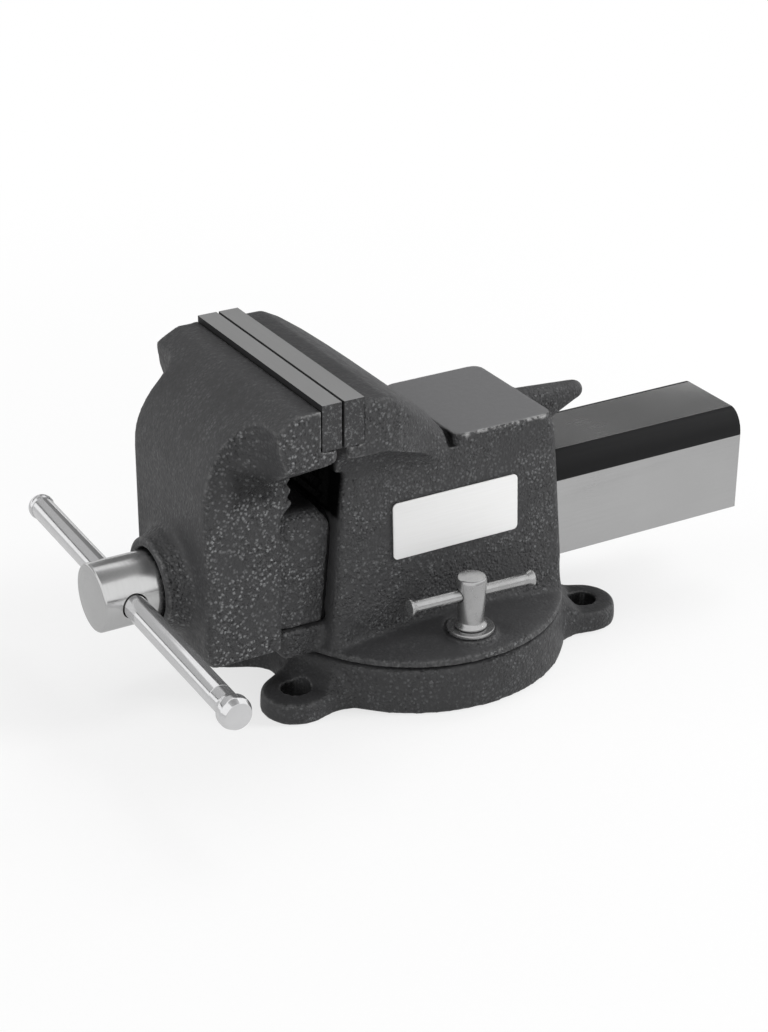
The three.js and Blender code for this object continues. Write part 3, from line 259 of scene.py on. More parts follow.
@dataclass(frozen=True)
class BlackPaintedIron(Finish):
    """Grey cast iron out of a sand mould under one coat of black enamel.

    The sand leaves lumps of about 2.4 mm with separate grains of about 1.3 mm on them, in
    patches a few centimetres wide. Some grains are painted paler as glints and some darker as
    shade in pits. Faces that look sideways keep that skin, and faces that look up or forward
    were fettled and are calmer. Rubbed edges show a broken paler line, bare ground iron shows
    where the mesh says so, and deep recesses are painted near black as shade, with little
    reflection.
    """

    dark: str = "#303031"
    pale: str = "#404041"
    # Painted shade in pits: the colour of the darker grains
    pit_shade: str = "#202021"
    # Painted glint: the colour of the paler grains
    glint_fleck: str = "#747576"
    rubbed: str = "#9E9E9E"
    ground: str = "#676768"
    painted_shade: str = "#070707"
    lump: float = 2.4
    grain: float = 1.3
    warp: float = 1.3
    mottle: float = 17.0
    relief: float = 1.1
    gloss: float = 0.4
    painted_shade_gloss: float = 0.02
    sheen_spread: float = 0.08
    pebble_share: float = 0.45

    def pattern(self, tree: Tree) -> Drives:
        """Mottled paint, sand skin, grains painted as glints and shade, rubbed edges, bare iron, painted
        recess shade.

        Args:
            tree: The material's node tree.

        Returns:
            The sockets that drive the shader, by the name of its input.
        """
        place = add_node(tree, "TexCoord")
        spot = place.outputs["Object"]
        facing = add_node(tree, "SeparateXYZ", {0: place.outputs["Normal"]})
        sideways = add_node(tree, "Math", {0: facing.outputs["X"]}, operation="ABSOLUTE")
        fields = {}
        for name, width, detail in (("mottle", self.mottle, 3.0), ("lump", self.lump, 2.0)):
            cloud: Inputs = {"Vector": spot, "Scale": per_metre(width), "Detail": detail, "Roughness": 0.6}
            fields[name] = add_node(tree, "TexNoise", cloud).outputs["Fac"]
        fine = per_metre(self.grain)
        wander = add_node(tree, "TexNoise", {"Vector": spot, "Scale": fine, "Detail": 2.0})
        bend: Inputs = {0: wander.outputs["Color"], 1: (self.warp * MM,) * 3, 2: spot}
        bent = add_node(tree, "VectorMath", bend, operation="MULTIPLY_ADD")
        grains = add_node(tree, "TexVoronoi", {"Vector": bent.outputs[0], "Scale": fine})
        fields["grain"] = grains.outputs["Distance"]
        kind = add_node(tree, "SeparateColor", {0: grains.outputs["Color"]})
        # Painted shade: one of these attributes marks recesses painted near black as shade, and the gloss
        # row turns their reflection down
        bare, edge, painted_shade = (
            add_node(tree, "Attribute", attribute_name=name).outputs["Fac"]
            for name in ("bare", "edge", "painted_shade")
        )
        shares = {}
        for name, value, low, high, to_low, to_high in (
            ("side", sideways.outputs[0], 0.25, 0.8, 0.22, 1.0),
            ("patch", fields["mottle"], 0.4, 0.6, 0.35, 1.0),
            ("covered", bare, 0.0, 1.0, 1.0, 0.0),
            ("glint_fleck", fields["grain"], 0.6, 0.2, 0.0, 1.0),
            ("pit_shade", fields["grain"], 0.5, 0.15, 0.0, 1.0),
            ("shiny", kind.outputs[0], 0.45, 0.9, 0.0, 1.0),
            ("sunk", kind.outputs[0], 0.35, 0.1, 0.0, 0.8),
            ("pebble", fields["grain"], 0.0, 0.7, 1.0, 0.0),
            ("chip", fields["lump"], 0.42, 0.58, 0.05, 1.0),
            (
                "sheen", fields["lump"], 0.3, 0.7,
                self.roughness - self.sheen_spread, self.roughness + self.sheen_spread,
            ),
            ("gloss", painted_shade, 0.0, 1.0, self.gloss, self.painted_shade_gloss),
        ):
            ends = {"From Min": low, "From Max": high, "To Min": to_low, "To Max": to_high}
            shares[name] = add_node(tree, "MapRange", {"Value": value, **ends}).outputs[0]
        both = add_node(
            tree, "Mix", {"Factor": self.pebble_share, "A": fields["lump"], "B": shares["pebble"]}
        )
        shares |= {"edge": edge, "relief": both.outputs["Result"]}
        for name, first, second in (
            ("skin", "side", "patch"),
            ("depth", "skin", "covered"),
            ("sunk pit", "pit_shade", "sunk"),
            ("dark spot", "sunk pit", "depth"),
            ("shiny fleck", "glint_fleck", "shiny"),
            ("pale spot", "shiny fleck", "depth"),
            ("worn", "edge", "chip"),
            ("height", "relief", "depth"),
        ):
            ends = {0: shares[first], 1: shares[second]}
            shares[name] = add_node(tree, "Math", ends, operation="MULTIPLY").outputs[0]
        colour = linear(self.dark)
        # Painted light: pale flecks on the grains are painted glints, dark spots are painted shade in pits,
        # and recesses get painted shade near black; the other layers are the paint's own colour
        for factor, code in (
            (fields["mottle"], self.pale),
            (shares["dark spot"], self.pit_shade),
            (shares["pale spot"], self.glint_fleck),
            (bare, self.ground),
            (shares["worn"], self.rubbed),
            (painted_shade, self.painted_shade),
        ):
            layer: Inputs = {"Factor": factor, "A": colour, "B": linear(code)}
            colour = add_node(tree, "Mix", layer, data_type="RGBA").outputs["Result"]
        bump = add_node(
            tree, "Bump", {"Height": shares["height"], "Strength": 1.0, "Distance": self.relief * MM}
        )
        return {
            "Base Color": colour,
            "Specular IOR Level": shares["gloss"],
            "Roughness": shares["sheen"],
            "Normal": bump.outputs[0],
        }


@dataclass(frozen=True)
class LinedSteel(Finish):
    """Steel with tool or drawing lines along one axis.

    Grinding, drawing and milling leave parallel scratches far finer than a pixel. They are
    drawn 0.5 mm wide, as coarse as they need to be to show as a faint satin.
    """

    colour: str = "#8F9091"
    shade: str = "#7B7C7E"
    along: Axis = Axis.X
    line_width: float = 0.5
    line_length: float = 60.0
    stain: float = 22.0
    stain_share: float = 0.45
    spread: float = 0.07
    strength: float = 0.35
    depth: float = 0.02

    def pattern(self, tree: Tree) -> Drives:
        """Stretched noise for the lines, and a broad stain that dulls the steel a little.

        Args:
            tree: The material's node tree.

        Returns:
            The sockets that drive the shader, by the name of its input.
        """
        spot = add_node(tree, "TexCoord").outputs["Object"]
        stretch = [per_metre(self.line_width)] * 3
        stretch[self.along.value] = per_metre(self.line_length)
        scaled = add_node(tree, "Mapping", {"Vector": spot, "Scale": tuple(stretch)})
        streaks: Inputs = {"Vector": scaled.outputs[0], "Scale": 1.0, "Detail": 3.0, "Roughness": 0.7}
        lines = add_node(tree, "TexNoise", streaks).outputs["Fac"]
        stain = add_node(
            tree, "TexNoise", {"Vector": spot, "Scale": per_metre(self.stain), "Detail": 3.0}
        )
        both = add_node(
            tree, "Mix", {"Factor": self.stain_share, "A": lines, "B": stain.outputs["Fac"]}
        )
        return self.worked(
            tree, both.outputs["Result"], lines, (self.shade, self.colour),
            (self.spread, self.spread), (self.strength, self.depth),
        )


@dataclass(frozen=True)
class ScaledSteel(LinedSteel):
    """Drawn steel whose flats are bright and whose rounded corners keep black mill scale.

    The drawing die only rubbed the flats clean, so each rounded corner is a dark, smooth
    stripe with a sharp border along the bar. The front end, inside the body, is painted as
    black too: painted shade, for the shadow in the gap between the neck and the body.
    """

    # Black of the corners, and of the front end where it is painted shade
    scale_and_shade: str = "#131314"
    scale_and_shade_roughness: float = 0.5
    scale_and_shade_gloss: float = 0.2
    flat_gloss: float = 0.5
    corner_across: float = 14.4
    corner_height: float = 65.3
    painted_shade_front: float = -46.0
    border: float = 0.25

    def pattern(self, tree: Tree) -> Drives:
        """The drawn lines, mill scale where both the width and the height reach the corner, and the same
        black as painted shade on the front end.

        Args:
            tree: The material's node tree.

        Returns:
            The sockets that drive the shader, by the name of its input.
        """
        drives = super().pattern(tree)
        place = add_node(tree, "TexCoord")
        parts = add_node(tree, "SeparateXYZ", {0: place.outputs["Object"]})
        away = add_node(tree, "Math", {0: parts.outputs["X"]}, operation="ABSOLUTE").outputs[0]
        reaches: Inputs = {}
        for number, value, start in (
            (0, away, self.corner_across),
            (1, parts.outputs["Z"], self.corner_height),
        ):
            ends = {"From Min": start * MM, "From Max": (start + self.border) * MM}
            reaches[number] = add_node(tree, "MapRange", {"Value": value, **ends}).outputs[0]
        corner = add_node(tree, "Math", reaches, operation="MINIMUM")
        # Painted shade: the front end, inside the body, takes the same black, for the shadow in the gap
        # between the neck and the body
        front: Inputs = {0: parts.outputs["Y"], 1: self.painted_shade_front * MM}
        inside = add_node(tree, "Math", front, operation="LESS_THAN")
        covered: Inputs = {0: corner.outputs[0], 1: inside.outputs[0]}
        black = add_node(tree, "Math", covered, operation="MAXIMUM").outputs[0]
        layer: Inputs = {"Factor": black, "A": drives["Base Color"], "B": linear(self.scale_and_shade)}
        colour = add_node(tree, "Mix", layer, data_type="RGBA")
        dull = add_node(
            tree, "Mix", {"Factor": black, "A": drives["Roughness"], "B": self.scale_and_shade_roughness}
        )
        metal = add_node(tree, "MapRange", {"Value": black, "To Min": self.metallic, "To Max": 0.0})
        gloss = add_node(
            tree, "MapRange", {"Value": black, "To Min": self.flat_gloss, "To Max": self.scale_and_shade_gloss}
        )
        return drives | {
            "Base Color": colour.outputs["Result"],
            "Roughness": dull.outputs["Result"],
            "Metallic": metal.outputs[0],
            "Specular IOR Level": gloss.outputs[0],
        }


@dataclass(frozen=True)
class GroundJawSteel(LinedSteel):
    """Hardened jaw steel: ground on top, near black on its faces, painted on its ends.

    The ground top shows as a plain mid grey. The faces along Y are near black, partly from
    hardening and partly painted shade for the gap between the plates and the plate's proud
    front face, so the gap stays a black line. The ends are as dark and grainy as the casting
    beside them, with pale flecks painted as glints.
    """

    end_paint: str = "#323233"
    end_glint_fleck: str = "#6E6F70"
    face_scale_and_shade: str = "#161617"
    cover_roughness: float = 0.6
    grain: float = 1.2
    grain_strength: float = 0.8
    grain_depth: float = 0.7

    def pattern(self, tree: Tree) -> Drives:
        """Ground lines, black faces along Y that are partly painted shade, and grainy paint with painted
        glints on the faces that look along X.

        Args:
            tree: The material's node tree.

        Returns:
            The sockets that drive the shader, by the name of its input.
        """
        drives = super().pattern(tree)
        place = add_node(tree, "TexCoord")
        facing = add_node(tree, "SeparateXYZ", {0: place.outputs["Normal"]})
        sand = add_node(tree, "TexNoise", {
            "Vector": place.outputs["Object"], "Scale": per_metre(self.grain),
            "Detail": 4.0, "Roughness": 0.65,
        }).outputs["Fac"]
        sideways, lengthways = (
            add_node(tree, "Math", {0: facing.outputs[axis]}, operation="ABSOLUTE").outputs[0]
            for axis in ("X", "Y")
        )
        # Painted shade: the faces along Y take a near-black colour for the shade in the gap between the
        # plates, besides the black of hardening; bright marks the painted glints on the ends
        painted, blackened_and_shaded, bright = (
            add_node(tree, "MapRange", {"Value": value, "From Min": low, "From Max": high}).outputs[0]
            for value, low, high in ((sideways, 0.55, 0.8), (lengthways, 0.4, 0.6), (sand, 0.52, 0.72))
        )
        covered = add_node(tree, "Math", {0: painted, 1: blackened_and_shaded}, operation="MAXIMUM").outputs[0]
        speckle: Inputs = {"Factor": bright, "A": linear(self.end_paint), "B": linear(self.end_glint_fleck)}
        paint = add_node(tree, "Mix", speckle, data_type="RGBA")
        colour = drives["Base Color"]
        for factor, cover in ((painted, paint.outputs["Result"]), (blackened_and_shaded, linear(self.face_scale_and_shade))):
            layer: Inputs = {"Factor": factor, "A": colour, "B": cover}
            colour = add_node(tree, "Mix", layer, data_type="RGBA").outputs["Result"]
        dull = add_node(
            tree, "Mix", {"Factor": covered, "A": drives["Roughness"], "B": self.cover_roughness}
        )
        bare = add_node(tree, "Math", {0: 1.0, 1: covered}, operation="SUBTRACT")
        metal = add_node(tree, "Math", {0: bare.outputs[0], 1: self.metallic}, operation="MULTIPLY")
        height = add_node(tree, "Math", {0: sand, 1: painted}, operation="MULTIPLY")
        bump = add_node(tree, "Bump", {
            "Height": height.outputs[0], "Normal": drives["Normal"],
            "Strength": self.grain_strength, "Distance": self.grain_depth * MM,
        })
        return {
            "Base Color": colour,
            "Roughness": dull.outputs["Result"],
            "Metallic": metal.outputs[0],
            "Normal": bump.outputs[0],
        }


@dataclass(frozen=True)
class TurnedSteel(Finish):
    """Steel from a lathe: fine rings round the axis on the side and round the middle on the end.

    The cutter's feed is about 0.1 mm, drawn 0.45 mm wide so that it shows as a faint spin.
    """

    colour: str = "#B4B5B7"
    shade: str = "#9C9DA0"
    along: Axis = Axis.Y
    middle: Corner = ORIGIN
    feed: float = 0.45
    depth: float = 0.015
    strength: float = 0.4
    stain: float = 9.0
    stain_share: float = 0.5
    spread: float = 0.06

    def pattern(self, tree: Tree) -> Drives:
        """One-way noise over the distance along the axis and the distance from it.

        Args:
            tree: The material's node tree.

        Returns:
            The sockets that drive the shader, by the name of its input.
        """
        spot = add_node(tree, "TexCoord").outputs["Object"]
        away: Inputs = {0: spot, 1: tuple(value * MM for value in self.middle)}
        shifted = add_node(tree, "VectorMath", away, operation="SUBTRACT")
        parts = add_node(tree, "SeparateXYZ", {0: shifted.outputs[0]})
        first, second = (parts.outputs[axis.name] for axis in Axis if axis is not self.along)
        flat = add_node(tree, "CombineXYZ", {"X": first, "Y": second, "Z": 0.0})
        radius = add_node(tree, "VectorMath", {0: flat.outputs[0]}, operation="LENGTH")
        rings = add_node(
            tree, "CombineXYZ",
            {"X": parts.outputs[self.along.name], "Y": radius.outputs["Value"], "Z": 0.0},
        )
        feed = add_node(tree, "TexNoise", {
            "Vector": rings.outputs[0], "Scale": per_metre(self.feed), "Detail": 2.0, "Roughness": 0.6,
        }).outputs["Fac"]
        stain = add_node(
            tree, "TexNoise", {"Vector": spot, "Scale": per_metre(self.stain), "Detail": 3.0}
        )
        both = add_node(
            tree, "Mix", {"Factor": self.stain_share, "A": feed, "B": stain.outputs["Fac"]}
        )
        return self.worked(
            tree, both.outputs["Result"], feed, (self.shade, self.colour),
            (self.spread, self.spread), (self.strength, self.depth),
        )


@dataclass(frozen=True)
class PlatedSteel(Finish):
    """Steel under a thin bright coat, such as zinc, nickel or chrome, tumbled in a barrel.

    The coat keeps small dents and a cloudy bloom a few millimetres wide, so the reflections
    waver slightly instead of being perfect.
    """

    colour: str = "#C6C7C8"
    bloom: str = "#A9AAAB"
    cloud: float = 5.0
    dent: float = 2.6
    strength: float = 0.4
    depth: float = 0.02
    spread: tuple[float, float] = (0.05, 0.04)

    def pattern(self, tree: Tree) -> Drives:
        """Cloudy colour and roughness, and shallow dents.

        Args:
            tree: The material's node tree.

        Returns:
            The sockets that drive the shader, by the name of its input.
        """
        spot = add_node(tree, "TexCoord").outputs["Object"]
        cloudy: Inputs = {"Vector": spot, "Scale": per_metre(self.cloud), "Detail": 4.0, "Roughness": 0.6}
        cloud = add_node(tree, "TexNoise", cloudy)
        dents = add_node(tree, "TexNoise", {"Vector": spot, "Scale": per_metre(self.dent), "Detail": 2.0})
        return self.worked(
            tree, cloud.outputs["Fac"], dents.outputs["Fac"], (self.bloom, self.colour),
            self.spread, (self.strength, self.depth),
        )


@dataclass(frozen=True)
class CoatedLabel(Finish):
    """Thin aluminium sheet with a satin white lacquer, bare of any print.

    The lacquer gives an even off-white with a soft sheen and a faint rolled grain.
    """

    white: str = "#E2E2E2"
    cream: str = "#DADAD9"
    grain: float = 0.6
    grain_length: float = 40.0
    spread: float = 0.05
    strength: float = 0.2
    depth: float = 0.01

    def pattern(self, tree: Tree) -> Drives:
        """Off-white with rolled grain along the plate. Here the white is the rougher tone.

        Args:
            tree: The material's node tree.

        Returns:
            The sockets that drive the shader, by the name of its input.
        """
        spot = add_node(tree, "TexCoord").outputs["Object"]
        fine, coarse = per_metre(self.grain), per_metre(self.grain_length * self.grain)
        rolled = add_node(tree, "Mapping", {"Vector": spot, "Scale": (fine, coarse, fine)})
        grain = add_node(
            tree, "TexNoise", {"Vector": rolled.outputs[0], "Scale": 1.0, "Detail": 2.0}
        ).outputs["Fac"]
        return self.worked(
            tree, grain, grain, (self.cream, self.white),
            (-self.spread, -self.spread), (self.strength, self.depth), (0.0, 1.0),
        )


# Mesh making


def link(name: str, mesh: bpy.types.Mesh) -> Piece:
    """Put a mesh into the scene as a new object.

    Args:
        name: Name of the object.
        mesh: Its mesh.

    Returns:
        The object, at the origin.
    """
    made = bpy.data.objects.new(name, mesh)
    bpy.context.scene.collection.objects.link(made)
    return made


def mesh_from(points: Sequence[Point], faces: Faces, name: str) -> Piece:
    """Make an object from points in millimetres, with doubles merged and faces outwards.

    Args:
        points: Corners in millimetres in the row frame.
        faces: Corner numbers of each face.
        name: Name of the object and its mesh.

    Returns:
        The new object, at the origin.
    """
    mesh = bpy.data.meshes.new(name)
    mesh.from_pydata([tuple(value * MM for value in point) for point in points], [], faces)
    work = bmesh.new()
    work.from_mesh(mesh)
    bmesh.ops.remove_doubles(work, verts=work.verts, dist=1e-7)
    bmesh.ops.recalc_face_normals(work, faces=work.faces)
    work.to_mesh(mesh)
    work.free()
    return link(name, mesh)


def grid_faces(rows: int, columns: int) -> Faces:
    """Four-sided faces over a grid of points that are numbered row by row."""
    return [
        (r * columns + c, r * columns + c + 1, (r + 1) * columns + c + 1, (r + 1) * columns + c)
        for r in range(rows - 1)
        for c in range(columns - 1)
    ]


def band_faces(count: int, pairs: Sequence[tuple[int, int]]) -> Faces:
    """Four-sided faces between pairs of closed rings, each of as many points as count says."""
    return [
        (one * count + i, one * count + (i + 1) % count, two * count + (i + 1) % count, two * count + i)
        for one, two in pairs
        for i in range(count)
    ]


def skin(rings: Sequence[Sequence[Point]], name: str) -> Piece:
    """Close a skin over rings of equally many points.

    Args:
        rings: The rings, each a closed loop.
        name: Name of the object.

    Returns:
        The object, closed by its first and last ring.
    """
    count, last = len(rings[0]), len(rings) - 1
    faces = band_faces(count, [(row, row + 1) for row in range(last)])
    faces += [list(range(count)), list(range(last * count, (last + 1) * count))]
    return mesh_from([point for ring in rings for point in ring], faces, name)


def rounded(corners: Sequence[Corner], steps: int = 6) -> list[tuple[float, float]]:
    """Outline from corners given as across, up and radius; a radius becomes an arc.

    Args:
        corners: The corners in order round the outline.
        steps: Straight pieces in each arc.

    Returns:
        The outline's points.
    """
    nearly_straight = math.radians(88)
    points: list[tuple[float, float]] = []
    for i, (across, up, radius) in enumerate(corners):
        corner = Vector((across, up))
        back = (Vector(corners[i - 1][:2]) - corner).normalized()
        ahead = (Vector(corners[(i + 1) % len(corners)][:2]) - corner).normalized()
        half = math.acos(max(-1.0, min(1.0, back.dot(ahead)))) / 2
        if radius <= 0 or half > nearly_straight:
            points.append((across, up))
            continue
        middle = corner + (back + ahead).normalized() * (radius / math.sin(half))
        reach = radius / math.tan(half)
        start = corner + back * reach - middle
        end = corner + ahead * reach - middle
        turn = math.atan2(start.x * end.y - start.y * end.x, start.dot(end))
        for step in range(steps + 1):
            cosine, sine = math.cos(turn * step / steps), math.sin(turn * step / steps)
            points.append((
                middle.x + start.x * cosine - start.y * sine,
                middle.y + start.x * sine + start.y * cosine,
            ))
    return points


def turned(
    profile: Sequence[Corner], axis: Axis, name: str, middle: Corner = ORIGIN, sides: int = 64
) -> Piece:
    """Turn a profile round an axis.

    Args:
        profile: Radius, place along the axis and corner rounding of each corner.
        axis: The axis of the turning.
        name: Name of the object.
        middle: Where the axis runs and its zero place lies.
        sides: How many sides the round gets.

    Returns:
        The closed turned solid. It is a ring where the profile starts away from the axis.
    """
    corners = [(radius, place, 0.0 if radius <= 0 else rounding) for radius, place, rounding in profile]
    angles = [2 * math.pi * side / sides for side in range(sides)]
    points = [
        axis.place(max(radius, 0.0) * math.cos(a), max(radius, 0.0) * math.sin(a), place) + Vector(middle)
        for radius, place in rounded(corners, 4)
        for a in angles
    ]
    rows = len(points) // sides
    pairs = [(row, row + 1) for row in range(rows - 1)]
    if profile[0][0] > 0:
        pairs.append((rows - 1, 0))
    return mesh_from(points, band_faces(sides, pairs), name)


def round_bar(
    radius: float, start: float, end: float, axis: Axis, name: str,
    middle: Corner = ORIGIN, sides: int = 40, rounding: float = 0.0,
) -> Piece:
    """A plain round bar, such as a pin or what a drill takes away.

    Args:
        radius: Its radius.
        start: Place of its first end on the axis.
        end: Place of its second end.
        axis: The axis along which it lies.
        name: Name of the object.
        middle: Where the axis runs.
        sides: How many sides the round gets.
        rounding: Rounding of both rims.

    Returns:
        The bar.
    """
    profile = [(0.0, start, 0.0), (radius, start, rounding), (radius, end, rounding), (0.0, end, 0.0)]
    return turned(profile, axis, name, middle, sides)


def ring_washer(
    inner: float, outer: float, node: str, axis: Axis, name: str, middle: Corner = ORIGIN
) -> Piece:
    """A flat washer with its outer edges rolled over a little, as thick as its CAD node.

    Args:
        inner: Radius of the hole.
        outer: Outer radius.
        node: The CAD node whose place and thickness it takes.
        axis: The washer's axis.
        name: Name of the object.
        middle: Where the axis runs.

    Returns:
        The washer.
    """
    hole_edge, rolled_edge = 0.15, 0.35
    start, end = span(node, axis)
    profile = [
        (inner, start, hole_edge), (outer, start, rolled_edge),
        (outer, end, rolled_edge), (inner, end, hole_edge),
    ]
    return shaded(turned(profile, axis, name, middle, 72))


def hexagon(flats: float, across: float = 0.0, up: float = 0.0) -> list[tuple[float, float]]:
    """Outline of a hexagon with a width over its flats, round a point."""
    radius = flats / math.sqrt(3)
    return [
        (across + radius * math.cos(math.pi * i / 3), up + radius * math.sin(math.pi * i / 3))
        for i in range(6)
    ]


def drawn(
    outline: Sequence[Point], axis: Axis, start: float, end: float, name: str
) -> Piece:
    """Draw an outline out between two places on an axis."""
    rings = [[axis.place(across, up, place) for across, up in outline] for place in (start, end)]
    return skin(rings, name)


def span(node: str, axis: Axis) -> tuple[float, float]:
    """Where a CAD node starts and ends along an axis, in millimetres."""
    low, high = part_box(node)
    return low[axis.value] / MM, high[axis.value] / MM


def modified(piece: Piece, kind: str, **settings: object) -> Piece:
    """Add one modifier with its settings and turn it into the piece's mesh.

    Args:
        piece: The piece that changes.
        kind: Type of the modifier.
        **settings: Properties of the modifier.

    Returns:
        The same piece.
    """
    modifier = piece.modifiers.new(kind.title(), kind)
    for name, value in settings.items():
        setattr(modifier, name, value)
    graph = bpy.context.evaluated_depsgraph_get()
    done = bpy.data.meshes.new_from_object(piece.evaluated_get(graph))
    old = piece.data
    piece.modifiers.clear()
    piece.data = done
    bpy.data.meshes.remove(old)
    return piece


def combined(
    piece: Piece, *tools: Piece, operation: str = "DIFFERENCE"
) -> Piece:
    """Take the tools' volumes out of a piece, or join them to it, and remove the tools.

    Args:
        piece: The piece that changes.
        *tools: Closed solids.
        operation: DIFFERENCE takes them out, and UNION joins them.

    Returns:
        The same piece.
    """
    for tool in tools:
        modified(piece, "BOOLEAN", object=tool, operation=operation, solver="EXACT")
        bpy.data.objects.remove(tool)
    return piece


def broken_edges(piece: Piece, width: float) -> Piece:
    """Break the sharp edges of a piece with a small rounding, width in millimetres."""
    return modified(
        piece, "BEVEL", width=width * MM, segments=2, limit_method="ANGLE",
        angle_limit=math.radians(35), use_clamp_overlap=True, miter_outer="MITER_ARC",
    )


def shaded(piece: Piece, degrees: float = 35) -> Piece:
    """Shade a piece smooth, with edges sharper than an angle kept.

    Args:
        piece: The piece.
        degrees: The angle.

    Returns:
        The same piece.
    """
    mesh = piece.data
    mesh.polygons.foreach_set("use_smooth", [True] * len(mesh.polygons))
    mesh.set_sharp_from_angle(angle=math.radians(degrees))
    mesh.update()
    return piece


def tilted(piece: Piece, turn: Matrix) -> Piece:
    """Move a piece's mesh by a matrix, so that its object stays at the origin.

    Args:
        piece: The piece.
        turn: The matrix.

    Returns:
        The same piece.
    """
    piece.data.transform(turn)
    piece.data.update()
    return piece


def about(middle: Corner, degrees: float, axis: str) -> Matrix:
    """A turn about an axis through a point given in millimetres."""
    shift = Matrix.Translation(Vector(middle) * MM)
    return shift @ Matrix.Rotation(math.radians(degrees), 4, axis) @ shift.inverted()


def placed(
    piece: Piece, body: str, slot: Slot, finish: Finish, *nodes: str
) -> Piece:
    """Dress a piece, let it ride on its body and stand for its CAD nodes.

    Args:
        piece: The finished mesh object.
        body: The CAD body that carries it.
        slot: The record's material slot; not used.
        finish: The finish of the whole piece.
        *nodes: The CAD nodes that it stands for.

    Returns:
        The same piece.
    """
    piece.data.materials.clear()
    piece.data.materials.append(finish.material())
    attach(piece, body)
    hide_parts(*nodes)
    log.info("%s: %d faces on %s, %s", piece.name, len(piece.data.polygons), body, finish.name)
    return piece


# Castings


@dataclass(frozen=True)
class Zone:
    """A region of a casting, with a share that eases to nothing over its margin."""

    low: Corner
    high: Corner
    share: float = 1.0
    margin: float = 1.5

    def depth(self, places: np.ndarray) -> np.ndarray:
        """How deep inside the zone each place lies, in millimetres, and negative outside it."""
        return np.minimum(places - np.array(self.low), np.array(self.high) - places).min(axis=1)

    def shares(self, places: np.ndarray) -> np.ndarray:
        """How far each place, in millimetres, belongs to the zone.

        Args:
            places: One row of three coordinates for each place.

        Returns:
            A value from nothing to the zone's share for each place.
        """
        ease = np.clip(self.depth(places) / self.margin + 1, 0, 1)
        return self.share * ease * ease * (3 - 2 * ease)

    def pair(self) -> tuple["Zone", "Zone"]:
        """The zone and its mirror image on the other side, along X.

        Returns:
            Both zones.
        """
        low = (-self.high[0], *self.low[1:])
        high = (-self.low[0], *self.high[1:])
        return self, Zone(low, high, self.share, self.margin)


@dataclass(frozen=True)
class RoundZone(Zone):
    """A ring-shaped region round an axis.

    Low is its inner radius, its outer radius and where it starts along the axis, and high
    is the same with where it ends.
    """

    middle: Corner = ORIGIN
    axis: Axis = Axis.Z

    def depth(self, places: np.ndarray) -> np.ndarray:
        """How deep inside the ring each place lies, in millimetres.

        Args:
            places: One row of three coordinates for each place.

        Returns:
            The depth of each place, negative outside the ring.
        """
        away = places - np.array(self.middle)
        along = away[:, self.axis.value]
        radius = np.sqrt((away**2).sum(axis=1) - along**2)
        inner, outer, start = self.low
        end = self.high[2]
        return np.minimum.reduce([radius - inner, outer - radius, along - start, end - along])


def strongest(zones: Sequence[Zone], places: np.ndarray) -> np.ndarray:
    """The largest share that any of the zones gives each place.

    Args:
        zones: The zones.
        places: One row of three coordinates for each place, in metres.

    Returns:
        A share for each place, nothing where there is no zone.
    """
    share = np.zeros(len(places))
    for zone in zones:
        share = np.maximum(share, zone.shares(places / MM))
    return share


def table(
    items: bpy.types.bpy_prop_collection, name: str, width: int, kind: type = np.float64
) -> np.ndarray:
    """Read one property of every point or edge of a mesh, a row for each.

    Args:
        items: The mesh's points or edges.
        name: The property.
        width: How many values it has.
        kind: The type of its values.

    Returns:
        The values.
    """
    values = np.empty(len(items) * width, kind)
    items.foreach_get(name, values)
    return values.reshape(-1, width)


def absorb(piece: Piece, others: Sequence[Piece]) -> None:
    """Take the meshes of other objects into one piece, and delete those objects.

    Args:
        piece: The piece that grows.
        others: The closed solids that it takes in, in the same place.
    """
    mesh = bmesh.new()
    mesh.from_mesh(piece.data)
    for other in others:
        mesh.from_mesh(other.data)
        bpy.data.objects.remove(other)
    mesh.to_mesh(piece.data)
    mesh.free()


